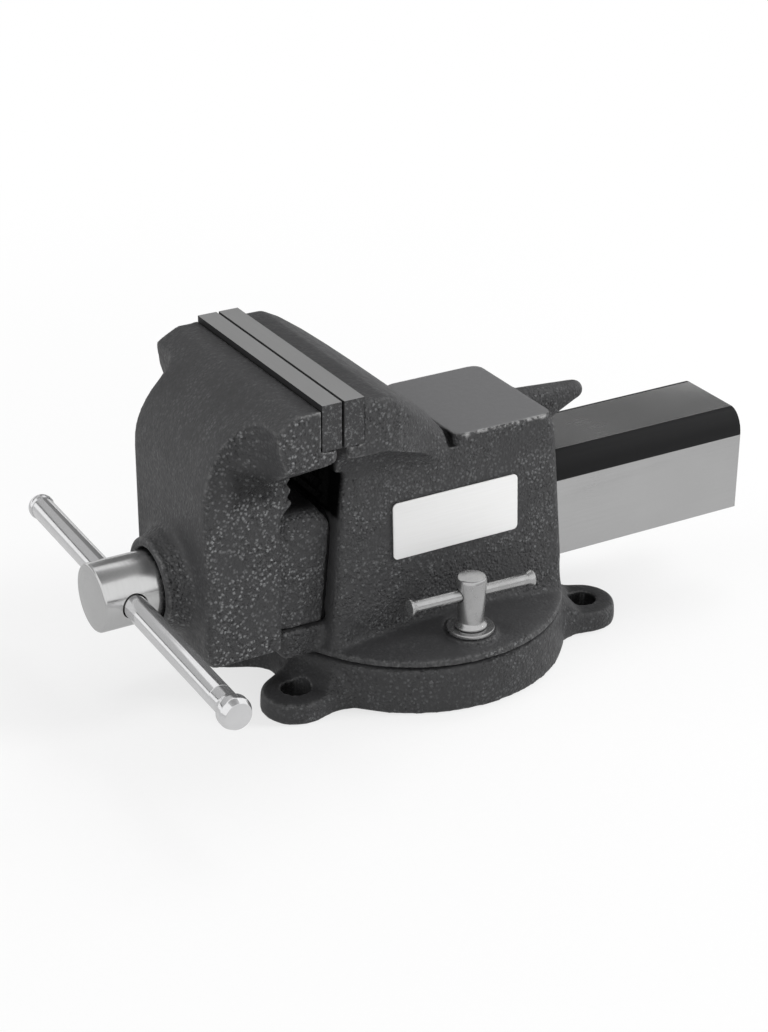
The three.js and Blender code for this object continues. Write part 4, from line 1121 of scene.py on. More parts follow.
@dataclass
class Casting:
    """One sand casting: the frame's solid with the soft edges and corners a mould leaves.

    The solid is remeshed finely and relaxed. Crisp zones keep their edges, because they were
    machined, and blend zones are relaxed further, where the pattern has wide fillets.
    """

    node: str
    body: str
    finish: BlackPaintedIron
    voxel: float = 0.8
    passes: int = 7
    blend_passes: int = 40
    pull: float = 0.5
    keep: float = 0.34
    crisp: tuple[Zone, ...] = ()
    blends: tuple[Zone, ...] = ()
    bare: tuple[Zone, ...] = ()
    worn: tuple[Zone, ...] = ()
    chipped: tuple[Zone, ...] = ()
    # Zones painted near black as shade, in recesses and holes
    painted_shade_zones: tuple[Zone, ...] = ()
    added: tuple[Piece, ...] = ()
    wear: float = 0.3
    wear_gain: float = 3.0
    wear_start: float = 0.15
    level: float = 0.85
    level_ease: float = 0.1

    def relax(self, piece: Piece, zones: tuple[Zone, ...], passes: int, inverted: bool) -> None:
        """Relax the mesh, weighted by zones.

        Args:
            piece: The remeshed casting.
            zones: The zones that say where.
            passes: How many rounds.
            inverted: True where the zones are kept and the rest is relaxed.
        """
        mesh = piece.data
        places = table(mesh.vertices, "co", 3)
        count = len(places)
        share = strongest(zones, places)
        weight = (1 - share if inverted else share)[:, None] * self.pull
        first, second = table(mesh.edges, "vertices", 2, np.int64).T
        links = np.bincount(first, minlength=count) + np.bincount(second, minlength=count)
        links = np.maximum(links, 1)[:, None]
        for _ in range(passes):
            total = np.zeros_like(places)
            for i in range(3):
                total[:, i] = np.bincount(first, places[second, i], count)
                total[:, i] += np.bincount(second, places[first, i], count)
            places = places + weight * (total / links - places)
        mesh.vertices.foreach_set("co", places.ravel())
        mesh.update()

    def mark(self, piece: Piece) -> None:
        """Write each point's worn edge, bare iron and painted shade onto the mesh.

        Args:
            piece: The finished mesh of the casting.
        """
        mesh = piece.data
        places, normals = (table(mesh.vertices, name, 3) for name in ("co", "normal"))
        count = len(places)
        first, second = table(mesh.edges, "vertices", 2, np.int64).T
        step = places[second] - places[first]
        square = np.maximum((step**2).sum(axis=1), 1e-12)
        bend_first = -(step * normals[first]).sum(axis=1) / square
        bend_second = (step * normals[second]).sum(axis=1) / square
        links = np.maximum(np.bincount(first, minlength=count) + np.bincount(second, minlength=count), 1)
        bend = (np.bincount(first, bend_first, count) + np.bincount(second, bend_second, count)) / links
        edge = np.clip(bend * MM * self.wear_gain - self.wear_start, 0, 1)
        edge = edge * np.maximum(self.wear, strongest(self.worn, places))
        upward = np.clip((normals[:, 2] - self.level) / self.level_ease, 0, 1)
        for name, values in (
            ("edge", np.maximum(edge, strongest(self.chipped, places))),
            ("bare", strongest(self.bare, places) * upward),
            ("painted_shade", strongest(self.painted_shade_zones, places)),
        ):
            made = mesh.attributes.new(name, "FLOAT", "POINT")
            made.data.foreach_set("value", values.astype(np.float32))

    def build(self) -> Piece:
        """Remesh, relax, thin out, mark and dress the casting.

        Returns:
            The casting.
        """
        piece = link(f"cast_{self.node}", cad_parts[self.node].data.copy())
        if self.added:
            absorb(piece, self.added)
        modified(piece, "REMESH", mode="VOXEL", voxel_size=self.voxel * MM, use_smooth_shade=True)
        self.relax(piece, self.blends, self.blend_passes, inverted=False)
        self.relax(piece, self.crisp, self.passes, inverted=True)
        modified(piece, "DECIMATE", ratio=self.keep)
        self.mark(piece)
        piece.data.polygons.foreach_set("use_smooth", [True] * len(piece.data.polygons))
        return placed(piece, self.body, Slot.CASTING, self.finish, self.node)


@dataclass
class Body:
    """The body casting with its label plate, the spindle nut and what holds the nut down."""

    body: str = "turret"
    anvil_top: float = 99.5
    anvil_half: float = 28.0
    anvil_front: float = 3.2
    anvil_rear: float = 48.2
    label_width: float = 56.4
    label_height: float = 23.4
    label_corner: float = 2.0
    label_thickness: float = 0.6
    label_edge: float = 0.15
    nut_voxel: float = 0.5
    nut_keep: float = 0.35
    bolt_flats: float = 17.0
    bolt_head: float = 7.0
    bolt_radius: float = 5.0
    washer_inner: float = 5.3
    washer_outer: float = 11.0

    def casting(self) -> Piece:
        """The body casting with its crisp anvil, seat and slide tunnel.

        Returns:
            The casting.
        """
        top, half, front, rear = self.anvil_top, self.anvil_half, self.anvil_front, self.anvil_rear
        # Machined and sharp: the anvil, the step before it, the plate's seat, the slide's tunnel,
        # the pivot under the turntable and the faces under the lock washers
        crisp = (
            Zone((-half - 1, front - 1.2, top - 3.0), (half + 1, rear + 0.8, top + 1), 1.0, 0.8),
            Zone((-half - 1, front - 5.2, top - 7.0), (half + 1, front + 0.8, top + 1), 1.0, 0.8),
            Zone((-51, -51, 116.6), (51, -48.6, 134), 0.8, 0.8),
            Zone((-23.2, -72, 31), (23.2, 56, 77), 0.9, 0.8),
            Zone((-19, -19, 4), (19, 19, 33), 0.9, 0.8),
            *Zone((33, -13, 23), (60, 13, 30), 0.75, 0.8).pair(),
        )
        # Fillets: the foot of the sides, the back and the front corners, the root of the horn,
        # and where the wings run into the sides
        blends = (
            *Zone((26, -58, 24), (35, 60, 33), 0.9, 2.5).pair(),
            Zone((-35, 52, 24), (35, 60, 33), 0.9, 2.5),
            *Zone((24, -60, 24), (35, -50, 34), 0.8, 2.5).pair(),
            Zone((-10, 51, 75), (10, 56, 92), 0.6, 2.0),
            *Zone((26, -44, 84), (34, -2, 103), 0.9, 3.0).pair(),
        )
        bare = (Zone((0.4 - half, front + 0.4, top - 0.7), (half - 0.4, rear - 0.4, top + 1), 1.0, 0.3),)
        # Rubbed: the turntable's rim, and the lip under the near end of the plate
        worn = (
            RoundZone((60.5, 64, 22), (60.5, 64, 24), 0.35, 0.5),
            Zone((20, -62, 108), (52, -46, 117), 0.8, 1.5),
        )
        chipped = Zone((half - 0.4, front + 3, top - 0.7), (half + 1, rear - 1, top + 0.5), 0.9, 0.3).pair()
        # Painted shade, near black: the gap between the pipe jaws, and the step before the anvil
        painted_shade_zones = (
            Zone((-26, -64, 77), (26, -45.6, 114), 1.0, 2.0),
            Zone((-half, front - 2.6, top - 5.5), (half - 0.6, front + 0.1, top - 0.5), 0.85, 0.6),
        )
        return Casting(
            "vise_body", self.body, BODY_IRON, voxel=0.62, passes=11, blend_passes=66, keep=0.45,
            crisp=crisp, blends=blends, bare=bare, worn=worn, chipped=chipped, painted_shade_zones=painted_shade_zones,
        ).build()

    def label(self) -> Piece:
        """The label plate: a thin bare plate with rounded corners, on the drafted side.

        Returns:
            The plate.
        """
        low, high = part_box("label_plate")
        lean = math.atan2((high.x - low.x) / MM - self.label_thickness, self.label_height)
        outline = rounded(
            [
                (side * self.label_width / 2, level * self.label_height / 2, self.label_corner)
                for side, level in ((-1, -1), (1, -1), (1, 1), (-1, 1))
            ],
            8,
        )
        plate = drawn(outline, Axis.X, 0.0, self.label_thickness, "label_sheet")
        broken_edges(plate, self.label_edge)
        tilted(plate, Matrix.Rotation(-lean, 4, "Y"))
        here = [vertex.co for vertex in plate.data.vertices]
        near, far = (Vector([end(point[i] for point in here) for i in range(3)]) for end in (min, max))
        tilted(plate, Matrix.Translation((low + high) / 2 - (near + far) / 2))
        return placed(shaded(plate), self.body, Slot.LABEL, LACQUERED_SHEET, "label_plate")

    def nut(self) -> Piece:
        """The spindle nut, a small steel block with its thread, edges softened.

        Returns:
            The nut.
        """
        piece = link("spindle_nut_block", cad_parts["spindle_nut"].data.copy())
        modified(piece, "REMESH", mode="VOXEL", voxel_size=self.nut_voxel * MM, use_smooth_shade=True)
        modified(piece, "SMOOTH", factor=0.5, iterations=2)
        modified(piece, "DECIMATE", ratio=self.nut_keep)
        return placed(shaded(piece, 40), self.body, Slot.SCREW, OILED_STEEL, "spindle_nut")

    def bolt(self) -> Piece:
        """The bolt that holds the nut down: a chamfered hexagon head and a plain shank.

        Returns:
            The bolt.
        """
        foot, top = span("nut_bolt", Axis.Z)
        head = drawn(hexagon(self.bolt_flats), Axis.Z, foot, foot + self.bolt_head, "nut_bolt_head")
        # A ring whose slanted inside takes the corners off the head
        chamfer = [(7.6, foot - 1, 0), (12, foot - 1, 0), (12, foot + 1.9, 0), (9.6, foot + 0.5, 0)]
        combined(head, turned(chamfer, Axis.Z, "chamfer"))
        radius, start = self.bolt_radius, foot + self.bolt_head - 1
        shank = turned([(0, start, 0), (radius, start, 0), (radius, top, 0.6), (0, top, 0)], Axis.Z, "shank")
        combined(head, shank, operation="UNION")
        head.name = "nut_hold_down_bolt"
        return placed(shaded(head, 30), self.body, Slot.ZINC, ZINC, "nut_bolt")

    def washer(self) -> Piece:
        """The washer under the bolt's head."""
        ring = ring_washer(self.washer_inner, self.washer_outer, "nut_washer", Axis.Z, "nut_bolt_washer")
        return placed(ring, self.body, Slot.ZINC, ZINC, "nut_washer")

    def build(self) -> list[Piece]:
        """All pieces of the body."""
        return [self.casting(), self.label(), self.nut(), self.bolt(), self.washer()]


@dataclass
class Base:
    """The swivel base casting with its four lugs."""

    body: str = "base"
    radius: float = 62.2
    turn: float = 2.3
    hole_across: float = 25.5
    hole_along: float = 68.5
    hole_radius: float = 6.0

    def build(self) -> list[Piece]:
        """The base casting with blended lugs and a crisp ring slot.

        Returns:
            The casting, as the only piece.
        """
        rim, edge, hole = self.radius, self.hole_radius + 1.2, self.hole_radius + 0.2
        crisp = [
            RoundZone((0, rim - 2.2, 1), (0, rim - 2.2, 20), 0.85, 0.8),
            Zone((-100, -100, -1), (100, 100, 0.4), 0.25, 0.4),
        ]
        turn = Matrix.Rotation(math.radians(self.turn), 2)
        # Painted shade: the insides of the four lug holes are painted dark
        painted_shade_zones = []
        for across in (-self.hole_across, self.hole_across):
            for along in (-self.hole_along, self.hole_along):
                x, y = turn @ Vector((across, along))
                crisp.append(RoundZone((0, edge, -1), (0, edge, 12), 1.0, 0.8, (x, y, 0.0)))
                painted_shade_zones.append(RoundZone((0, hole, -1), (0, hole, 8.2), 0.8, 0.4, (x, y, 0.0)))
        blends = (RoundZone((rim - 0.7, rim + 2.3, 6), (rim - 0.7, rim + 2.3, 16), 0.9, 1.2),)
        return [
            Casting(
                "swivel_base", self.body, BASE_IRON, passes=14, crisp=tuple(crisp), blends=blends,
                painted_shade_zones=tuple(painted_shade_zones),
            ).build()
        ]


@dataclass
class JawPlate:
    """A hardened jaw plate with a diamond grip, and its two countersunk socket screws.

    Side is 1 where its gripping face looks towards +Y. Bed is how far its back and its foot
    lie in the paint of the casting behind it.
    """

    name: str
    body: str
    side: float
    width: float = 100.0
    pitch: float = 2.4
    pitch_steps: int = 6
    groove: float = 0.35
    sharpness: float = 2.2
    margin: float = 1.0
    rim_break: float = 0.25
    head_radius: float = 6.0
    head_edge: float = 0.5
    shank_radius: float = 3.0
    clearance: float = 0.3
    length: float = 21.0
    sink: float = 0.5
    spacing: float = 60.0
    key: float = 4.0
    key_depth: float = 3.0
    overshoot: float = 3.0
    bed: float = 0.0

    @property
    def ends(self) -> tuple[float, float, float, float]:
        """Gripping face, back face, foot and top, in millimetres.

        Returns:
            Two places along Y and two along Z.
        """
        node = f"{self.name}_jaw_plate"
        faces, (foot, top) = span(node, Axis.Y), span(node, Axis.Z)
        back, grip = faces if self.side > 0 else reversed(faces)
        return grip, back - self.side * self.bed, foot - self.bed, top

    def screw_form(self, grow: float, name: str, across: float) -> Piece:
        """A countersunk screw laid into the plate, or the hole that it needs.

        Args:
            grow: How much wider than the screw, as the clearance of a hole.
            name: Name of the object.
            across: The screw's place along X.

        Returns:
            The turned form.
        """
        grip, _, foot, top = self.ends
        head, shank = self.head_radius + grow, self.shank_radius + grow
        start = -self.overshoot if grow else self.sink
        cone, end = self.sink + self.head_edge, self.length + grow
        depths = [
            (0.0, start, 0.0),
            (head, start, 0.0 if grow else 0.2),
            (head, cone, 0.0),
            (shank, cone + head - shank, 0.0),
            (shank, end, 0.0 if grow else 0.5),
            (0.0, end, 0.0),
        ]
        profile = [(radius, -self.side * depth, rounding) for radius, depth, rounding in depths]
        return turned(profile, Axis.Y, name, (across, grip, (foot + top) / 2), 48)

    def plate(self) -> Piece:
        """The plate: a diamond grid pressed into the gripping face, and chamfered edges.

        Returns:
            The plate.
        """
        grip, back, foot, top = self.ends
        half, step = self.width / 2, self.pitch / self.pitch_steps
        across = np.linspace(-half, half, int(self.width / step) + 1)
        up = np.linspace(foot, top, int((top - foot) / step) + 1)
        grid_x, grid_z = np.meshgrid(across, up)
        wave = [
            np.abs(((value / self.pitch) % 1.0) - 0.5) * 2
            for value in ((grid_x + grid_z) * math.sqrt(0.5), (grid_x - grid_z) * math.sqrt(0.5))
        ]
        pressed = np.clip(1 - np.minimum(wave[0], wave[1]) * self.sharpness, 0, 1) * self.groove
        inside = np.minimum.reduce([half - np.abs(grid_x), grid_z - foot, top - grid_z])
        pressed = np.where(inside < self.margin, 0.0, pressed)
        rim = np.where(inside < 1e-6, self.rim_break, 0.0)
        depth = grip - self.side * (pressed + rim)
        rows, columns = grid_x.shape
        points = list(zip(grid_x.ravel(), depth.ravel(), grid_z.ravel()))
        faces = grid_faces(rows, columns)
        loop = list(range(columns))
        loop += [r * columns + columns - 1 for r in range(1, rows)]
        loop += [(rows - 1) * columns + c for c in range(columns - 2, -1, -1)]
        loop += [r * columns for r in range(rows - 2, 0, -1)]
        start, count = len(points), len(loop)
        points += [(points[number][0], back, points[number][2]) for number in loop]
        for i in range(count):
            after = (i + 1) % count
            faces.append((loop[i], loop[after], start + after, start + i))
        faces.append([start + i for i in range(count)])
        piece = mesh_from(points, faces, f"{self.name}_grip_plate")
        for place in (-self.spacing / 2, self.spacing / 2):
            combined(piece, self.screw_form(self.clearance, "hole", place))
        return placed(shaded(piece, 25), self.body, Slot.JAW, JAW_STEEL, f"{self.name}_jaw_plate")

    def screws(self) -> list[Piece]:
        """The two screws with their hexagon sockets.

        Returns:
            The left and the right screw.
        """
        grip, _, foot, top = self.ends
        ends = (grip - self.side * (self.sink + self.key_depth), grip + self.side * self.overshoot)
        made = []
        for word, place in (("left", -self.spacing / 2), ("right", self.spacing / 2)):
            screw = self.screw_form(0.0, f"{self.name}_plate_screw_{word}", place)
            socket = hexagon(self.key, place, (foot + top) / 2)
            combined(screw, drawn(socket, Axis.Y, min(ends), max(ends), "key"))
            node = f"{self.name}_jaw_screw_{word}"
            made.append(placed(shaded(screw, 30), self.body, Slot.SCREW, BLACK_OXIDE, node))
        return made

    def build(self) -> list[Piece]:
        """The plate and its screws."""
        return [self.plate(), *self.screws()]


@dataclass
class FrontJaw:
    """The front jaw casting with the slide bar over its tongue and the pins between them."""

    body: str = "jaw"
    spindle_height: float = SPINDLE_HEIGHT
    boss_place: float = -105.0
    slide_half: float = 22.0
    slide_top: float = 75.9
    slide_foot: float = 32.1
    slide_rear: float = 147.4
    slide_edge: float = 0.45
    corner_across: float = 7.6
    corner_up: float = 10.6
    corner_steps: int = 16
    wall: float = 5.0
    wall_face: float = -111.0
    nose_length: float = 3.7
    nose_overlap: float = 1.5
    nose_bore: float = 14.5
    nose_radius: float = 18.2
    neck_foot: float = -52.53
    neck_shoulder: float = -48.96
    shoulder_height: float = 73.4
    neck_brow: float = -53.1
    brow_height: float = 80.0
    pin_radius: float = 4.0
    pin_edge: float = 0.5
    pin_hole: float = 4.3
    hole_reach: float = 30.0
    washer_inner: float = 10.4
    thrust_outer: float = 13.0
    retaining_outer: float = 14.0
    wire: float = 1.6
    wire_sides: int = 14
    coil_radius: float = 12.0
    coil_pitch: float = 2.5
    coil_turns: int = 3
    coil_steps: int = 40

    @property
    def middle(self) -> Corner:
        """Where the spindle's axis runs."""
        return (0.0, 0.0, self.spindle_height)

    @property
    def pin_middle(self) -> Corner:
        """Where the pins of the slide lie."""
        start, end = span("slide_pin_left", Axis.Y)
        return (0.0, (start + end) / 2, self.spindle_height)

    def nose(self) -> Piece:
        """The last part of the boss round the spindle, which the photograph shows a little longer.

        Returns:
            A ring for the casting to take in.
        """
        start, end = self.wall_face + self.nose_overlap, self.wall_face - self.nose_length
        profile = [
            (self.nose_bore, start, 0.0),
            (self.nose_bore, end, 0.4),
            (self.nose_radius, end, 1.4),
            (self.nose_radius, start, 0.0),
        ]
        return turned(profile, Axis.Y, "boss_nose", self.middle, 96)

    def casting(self) -> Piece:
        """The front jaw casting: soft brow, wings and boss, with crisp plate seat.

        Returns:
            The casting.
        """
        boss = ((0.0, self.boss_place, self.spindle_height), Axis.Y)
        # Machined and sharp: the plate's seat, the cavity behind the boss, the rear of the tongue,
        # and the bore and the face of the boss
        crisp = (
            Zone((-51, -69, 116.6), (51, -66, 134), 0.8, 0.8),
            Zone((-18, -96, 26), (18, -75, 73), 0.9, 0.8),
            Zone((-18, -52, 36), (18, -30, 72), 0.9, 0.8),
            RoundZone((0, 15.6, -12), (0, 15.6, 3), 0.9, 0.8, *boss),
            RoundZone((0, 20, -12), (0, 20, -8.6), 0.6, 0.6, *boss),
        )
        # Fillets: round the boss, at the root of the neck, and where the wings meet the column
        blends = (
            RoundZone((20.5, 26.0, -3.2), (20.5, 26.0, 2), 0.8, 1.5, *boss),
            *Zone((21, -76, 30), (30, -70, 82), 0.8, 2.0).pair(),
            *Zone((28, -98, 92), (42, -70, 112), 0.6, 2.5).pair(),
        )
        # Painted shade, near black: the gap between the pipe jaws, and less so the hollows under the wings
        painted_shade_zones = (
            Zone((-26, -68, 80.6), (26, -50, 114), 1.0, 2.0),
            *Zone((29, -90, 96), (36, -80, 104), 0.45, 7.0).pair(),
        )
        # Rubbed: the rim of the boss, and the near wing
        worn = (
            RoundZone((17, 20, -11), (17, 20, -8), 0.6, 0.8, *boss),
            Zone((28, -80, 104), (52, -62, 134), 0.7, 1.5),
        )
        return Casting(
            "front_jaw", self.body, JAW_IRON, voxel=0.7, passes=8, blend_passes=52, crisp=crisp,
            blends=blends, worn=worn, painted_shade_zones=painted_shade_zones, added=(self.nose(),),
        ).build()

    def arch(self, grow: float) -> list[tuple[float, float]]:
        """The slide's arch from one foot over the top to the other, grown or shrunk.

        Args:
            grow: How far outside the slide's outer face it lies.

        Returns:
            The points of the arch.
        """
        half, top = self.slide_half + grow, self.slide_top + grow
        across, up = self.corner_across + grow / 2, self.corner_up + grow / 2
        corner = []
        for step in range(self.corner_steps + 1):
            angle = math.pi / 2 * step / self.corner_steps
            corner.append((half - across + across * math.cos(angle), top - up + up * math.sin(angle)))
        left = [(-x, z) for x, z in reversed(corner)]
        return [(half, self.slide_foot), *corner, *left, (-half, self.slide_foot)]

    def slide(self) -> Piece:
        """The drawn steel channel that guides the jaw, with its pin holes.

        Returns:
            The channel.
        """
        outline = self.arch(0.0) + list(reversed(self.arch(-self.wall)))
        front = self.neck_foot - self.wall
        bar = drawn(outline, Axis.Y, front, self.slide_rear, "slide_channel")
        side = [
            (front - self.wall, self.slide_foot - 1),
            (self.neck_foot, self.slide_foot - 1),
            (self.neck_foot, self.slide_foot),
            (self.neck_shoulder, self.shoulder_height),
            (self.neck_brow, self.brow_height),
            (front - self.wall, self.brow_height),
        ]
        reach = self.slide_half + 2
        neck = drawn(side, Axis.X, -reach, reach, "neck")
        reach = self.hole_reach
        combined(bar, neck, round_bar(self.pin_hole, -reach, reach, Axis.X, "hole", self.pin_middle))
        broken_edges(bar, self.slide_edge)
        return placed(shaded(bar, 30), self.body, Slot.SLIDE, DRAWN_STEEL, "slide_bar")

    def pins(self) -> list[Piece]:
        """The two pins that hold the slide on the tongue.

        Returns:
            The left and the right pin.
        """
        made = []
        for word in ("left", "right"):
            node = f"slide_pin_{word}"
            pin = round_bar(
                self.pin_radius, *span(node, Axis.X), Axis.X, f"slide_dowel_{word}", self.pin_middle,
                rounding=self.pin_edge,
            )
            made.append(placed(shaded(pin), self.body, Slot.SCREW, OILED_STEEL, node))
        return made

    def washers(self) -> list[Piece]:
        """The bronze thrust washer and the front washer of the retaining set.

        Returns:
            Both washers.
        """
        made = []
        for node, outer, slot, finish in (
            ("thrust_washer", self.thrust_outer, Slot.BRONZE, BRONZE),
            ("retaining_washer_front", self.retaining_outer, Slot.ZINC, ZINC),
        ):
            washer = ring_washer(self.washer_inner, outer, node, Axis.Y, f"{node}_ring", self.middle)
            made.append(placed(washer, self.body, slot, finish, node))
        return made

    def spring(self) -> Piece:
        """The retaining spring: three turns of round wire with its ends ground flat.

        Returns:
            The spring.
        """
        start, end = span("retaining_spring", Axis.Y)
        rings = []
        for step in range(self.coil_turns * self.coil_steps + 1):
            angle = 2 * math.pi * step / self.coil_steps
            along = start + self.wire / 2 + self.coil_pitch * step / self.coil_steps
            ring = []
            for side in range(self.wire_sides):
                around = 2 * math.pi * side / self.wire_sides
                reach = self.coil_radius + self.wire / 2 * math.cos(around)
                place = min(max(along + self.wire / 2 * math.sin(around), start), end)
                ring.append((reach * math.sin(angle), place, self.spindle_height + reach * math.cos(angle)))
            rings.append(ring)
        coil = skin(rings, "retaining_coil")
        return placed(shaded(coil, 50), self.body, Slot.SPRING, SPRING_WIRE, "retaining_spring")

    def build(self) -> list[Piece]:
        """All pieces that slide with the front jaw."""
        return [self.casting(), self.slide(), *self.pins(), *self.washers(), self.spring()]


@dataclass
class Spindle:
    """The spindle with its thread, and the washer and pin that turn with it."""

    body: str = "spindle"
    height: float = SPINDLE_HEIGHT
    turn: float = HANDLE_TURN
    head_radius: float = 13.4
    head_front: float = -137.9
    head_rear: float = -107.6
    radius: float = 10.0
    root: float = 7.7
    pitch: float = 5.0
    crest: float = 1.6
    crest_edge: float = 0.18
    flank: float = 0.8
    run_out: float = 0.8
    thread_start: float = -24.4
    thread_end: float = 122.0
    cross_hole: float = HANDLE_PLACE
    cross_radius: float = 5.2
    pin_place: float = -79.1
    pin_radius: float = 2.0
    pin_edge: float = 0.4
    pin_half: float = 13.5
    pin_hole: float = 2.3
    hole_reach: float = 20.0
    washer_inner: float = 10.4
    washer_outer: float = 14.0
    sides: int = 72

    @property
    def tilt(self) -> Matrix:
        """The turn that the spindle has in the pose of the photograph."""
        return about((0, 0, self.height), self.turn, "Y")

    @property
    def groove(self) -> list[tuple[float, float]]:
        """The thread over one pitch, as place and radius, with slightly rounded crests.

        Returns:
            Place and radius of each corner.
        """
        edge, shoulder = self.crest_edge, self.radius - self.crest_edge
        halfway = (shoulder + self.root) / 2
        return [
            (0.0, shoulder),
            (edge, self.radius),
            (self.crest - edge, self.radius),
            (self.crest, shoulder),
            (self.crest + self.flank / 2, halfway),
            (self.crest + self.flank, self.root),
            (self.pitch - self.flank, self.root),
            (self.pitch - self.flank / 2, halfway),
        ]

    def rod(self) -> Piece:
        """Head, plain shank and thread in one closed skin, with its two cross holes.

        Returns:
            The spindle.
        """
        front, rear, head = self.head_front, self.head_rear, self.head_radius
        plain = rounded(
            [
                (0.0, front, 0.0),
                (head, front, 1.1),
                (head, rear, 0.7),
                (self.radius, rear, 0.0),
                (self.radius, self.thread_start, 0.0),
                (0.0, self.thread_start, 0.0),
            ],
            5,
        )[:-1]
        turns = [2 * math.pi * side / self.sides for side in range(self.sides)]
        rings = [
            [(radius * math.sin(a), place, self.height + radius * math.cos(a)) for a in turns]
            for radius, place in plain
        ]
        count = math.ceil((self.thread_end - self.thread_start) / self.pitch) + 2
        for number in range(-1, count):
            for phase, depth in self.groove:
                ring = []
                for side, a in enumerate(turns):
                    place = self.thread_start + self.pitch * (number + side / self.sides) + phase
                    run_out = self.radius - max(0.0, place - self.thread_start) * self.run_out
                    chamfer = self.root + max(0.0, self.thread_end - place)
                    radius = min(max(depth, run_out), chamfer)
                    place = min(max(place, self.thread_start), self.thread_end)
                    ring.append((radius * math.sin(a), place, self.height + radius * math.cos(a)))
                rings.append(ring)
        rod = skin(rings, "spindle_screw")
        for radius, axis, place, sides in (
            (self.cross_radius, Axis.X, self.cross_hole, 48),
            (self.pin_hole, Axis.Z, self.pin_place, 24),
        ):
            middle, reach = (0.0, place, self.height), self.hole_reach
            combined(rod, round_bar(radius, -reach, reach, axis, "hole", middle, sides))
        tilted(rod, self.tilt)
        return placed(shaded(rod, 32), self.body, Slot.SPINDLE, BRIGHT_STEEL, "spindle")

    def small_pieces(self) -> list[Piece]:
        """The washer behind the spring and the pin that keeps it.

        Returns:
            The washer and the pin.
        """
        node = "retaining_washer_rear"
        washer = ring_washer(
            self.washer_inner, self.washer_outer, node, Axis.Y, "retaining_ring_rear",
            (0.0, 0.0, self.height),
        )
        pin = round_bar(
            self.pin_radius, -self.pin_half, self.pin_half, Axis.Z, "retaining_dowel",
            (0.0, self.pin_place, self.height), 28, self.pin_edge,
        )
        tilted(washer, self.tilt)
        tilted(pin, self.tilt)
        return [
            placed(washer, self.body, Slot.ZINC, ZINC, node),
            placed(shaded(pin), self.body, Slot.SCREW, OILED_STEEL, "retaining_pin"),
        ]

    def build(self) -> list[Piece]:
        """All pieces that turn with the spindle."""
        return [self.rod(), *self.small_pieces()]


@dataclass
class Handle:
    """The sliding bar through the spindle's head, with a knob screwed on each end.

    Joint is the gap that keeps each knob's face off the shoulder of the bar.
    """

    body: str = "handle"
    place: float = HANDLE_PLACE
    height: float = SPINDLE_HEIGHT
    turn: float = HANDLE_TURN
    radius: float = 4.75
    near_end: float = 97.4
    near_length: float = 14.2
    near_radius: float = 6.3
    swell: tuple[float, float] = (8.2, 5.3)
    narrowing: tuple[float, float] = (2.4, 1.1)
    far_end: float = 82.0
    far_length: float = 7.6
    far_radius: float = 5.25
    far_collar: float = 1.4
    dome_short: float = 1.7
    dome_steps: int = 10
    spigot_radius: float = 3.0
    spigot_length: float = 5.0
    bore_radius: float = 3.3
    bore_depth: float = 5.3
    joint: float = 0.03

    @property
    def middle(self) -> Corner:
        """Where the bar's axis runs."""
        return (0.0, self.place, self.height)

    def bar(self) -> Piece:
        """The chromed bar, with a thin spigot at each end for its knob.

        Returns:
            The bar.
        """
        near = self.near_end - self.near_length - self.joint
        far = self.joint + self.far_length - self.far_end
        spigot, length = self.spigot_radius, self.spigot_length
        profile = [
            (0.0, far - length, 0.0),
            (spigot, far - length, 0.3),
            (spigot, far, 0.0),
            (self.radius, far, 0.3),
            (self.radius, near, 0.3),
            (spigot, near, 0.0),
            (spigot, near + length, 0.3),
            (0.0, near + length, 0.0),
        ]
        return self.dressed(turned(profile, Axis.X, "tommy_bar", self.middle, 56), "handle_bar")

    def near_knob(self) -> Piece:
        """The near knob: it swells out of the bar and draws in again to a flat end.

        Returns:
            The knob.
        """
        start, end, rim = self.near_end - self.near_length, self.near_end, self.near_radius
        floor = start + self.bore_depth
        profile = [
            (self.bore_radius, start, 0.0),
            (self.radius, start, 0.0),
            (self.radius, end - self.swell[0], 2.2),
            (rim, end - self.swell[1], 2.0),
            (rim, end - self.narrowing[0], 1.8),
            (rim - self.narrowing[1], end, 0.2),
            (0.0, end, 0.0),
            (0.0, floor, 0.0),
            (self.bore_radius, floor, 0.0),
        ]
        return self.dressed(turned(profile, Axis.X, "near_knob", self.middle), "handle_knob_near")

    def far_knob(self) -> Piece:
        """The far knob: a short collar, hardly wider than the bar, with a domed end.

        Returns:
            The knob.
        """
        start, end, rim = self.far_end - self.far_length, self.far_end - self.dome_short, self.far_radius
        dome, floor = end - start - self.far_collar, start + self.bore_depth
        profile = [
            (self.bore_radius, start, 0.0), (self.radius + 0.15, start, 0.1), (rim, start + 0.9, 0.5)
        ]
        for step in range(self.dome_steps):
            angle = math.pi / 2 * step / self.dome_steps
            height = start + self.far_collar + dome * math.sin(angle)
            profile.append((rim * math.cos(angle), height, 0.0))
        profile += [(0.0, end, 0.0), (0.0, floor, 0.0), (self.bore_radius, floor, 0.0)]
        profile = [(radius, -place, rounding) for radius, place, rounding in profile]
        return self.dressed(turned(profile, Axis.X, "far_knob", self.middle), "handle_knob_far")

    def dressed(self, piece: Piece, node: str) -> Piece:
        """Tilt a piece with the handle and dress it."""
        tilted(piece, about(self.middle, self.turn, "Y"))
        return placed(shaded(piece), self.body, Slot.HANDLE, CHROME, node)

    def build(self) -> list[Piece]:
        """The bar and both knobs."""
        return [self.bar(), self.near_knob(), self.far_knob()]


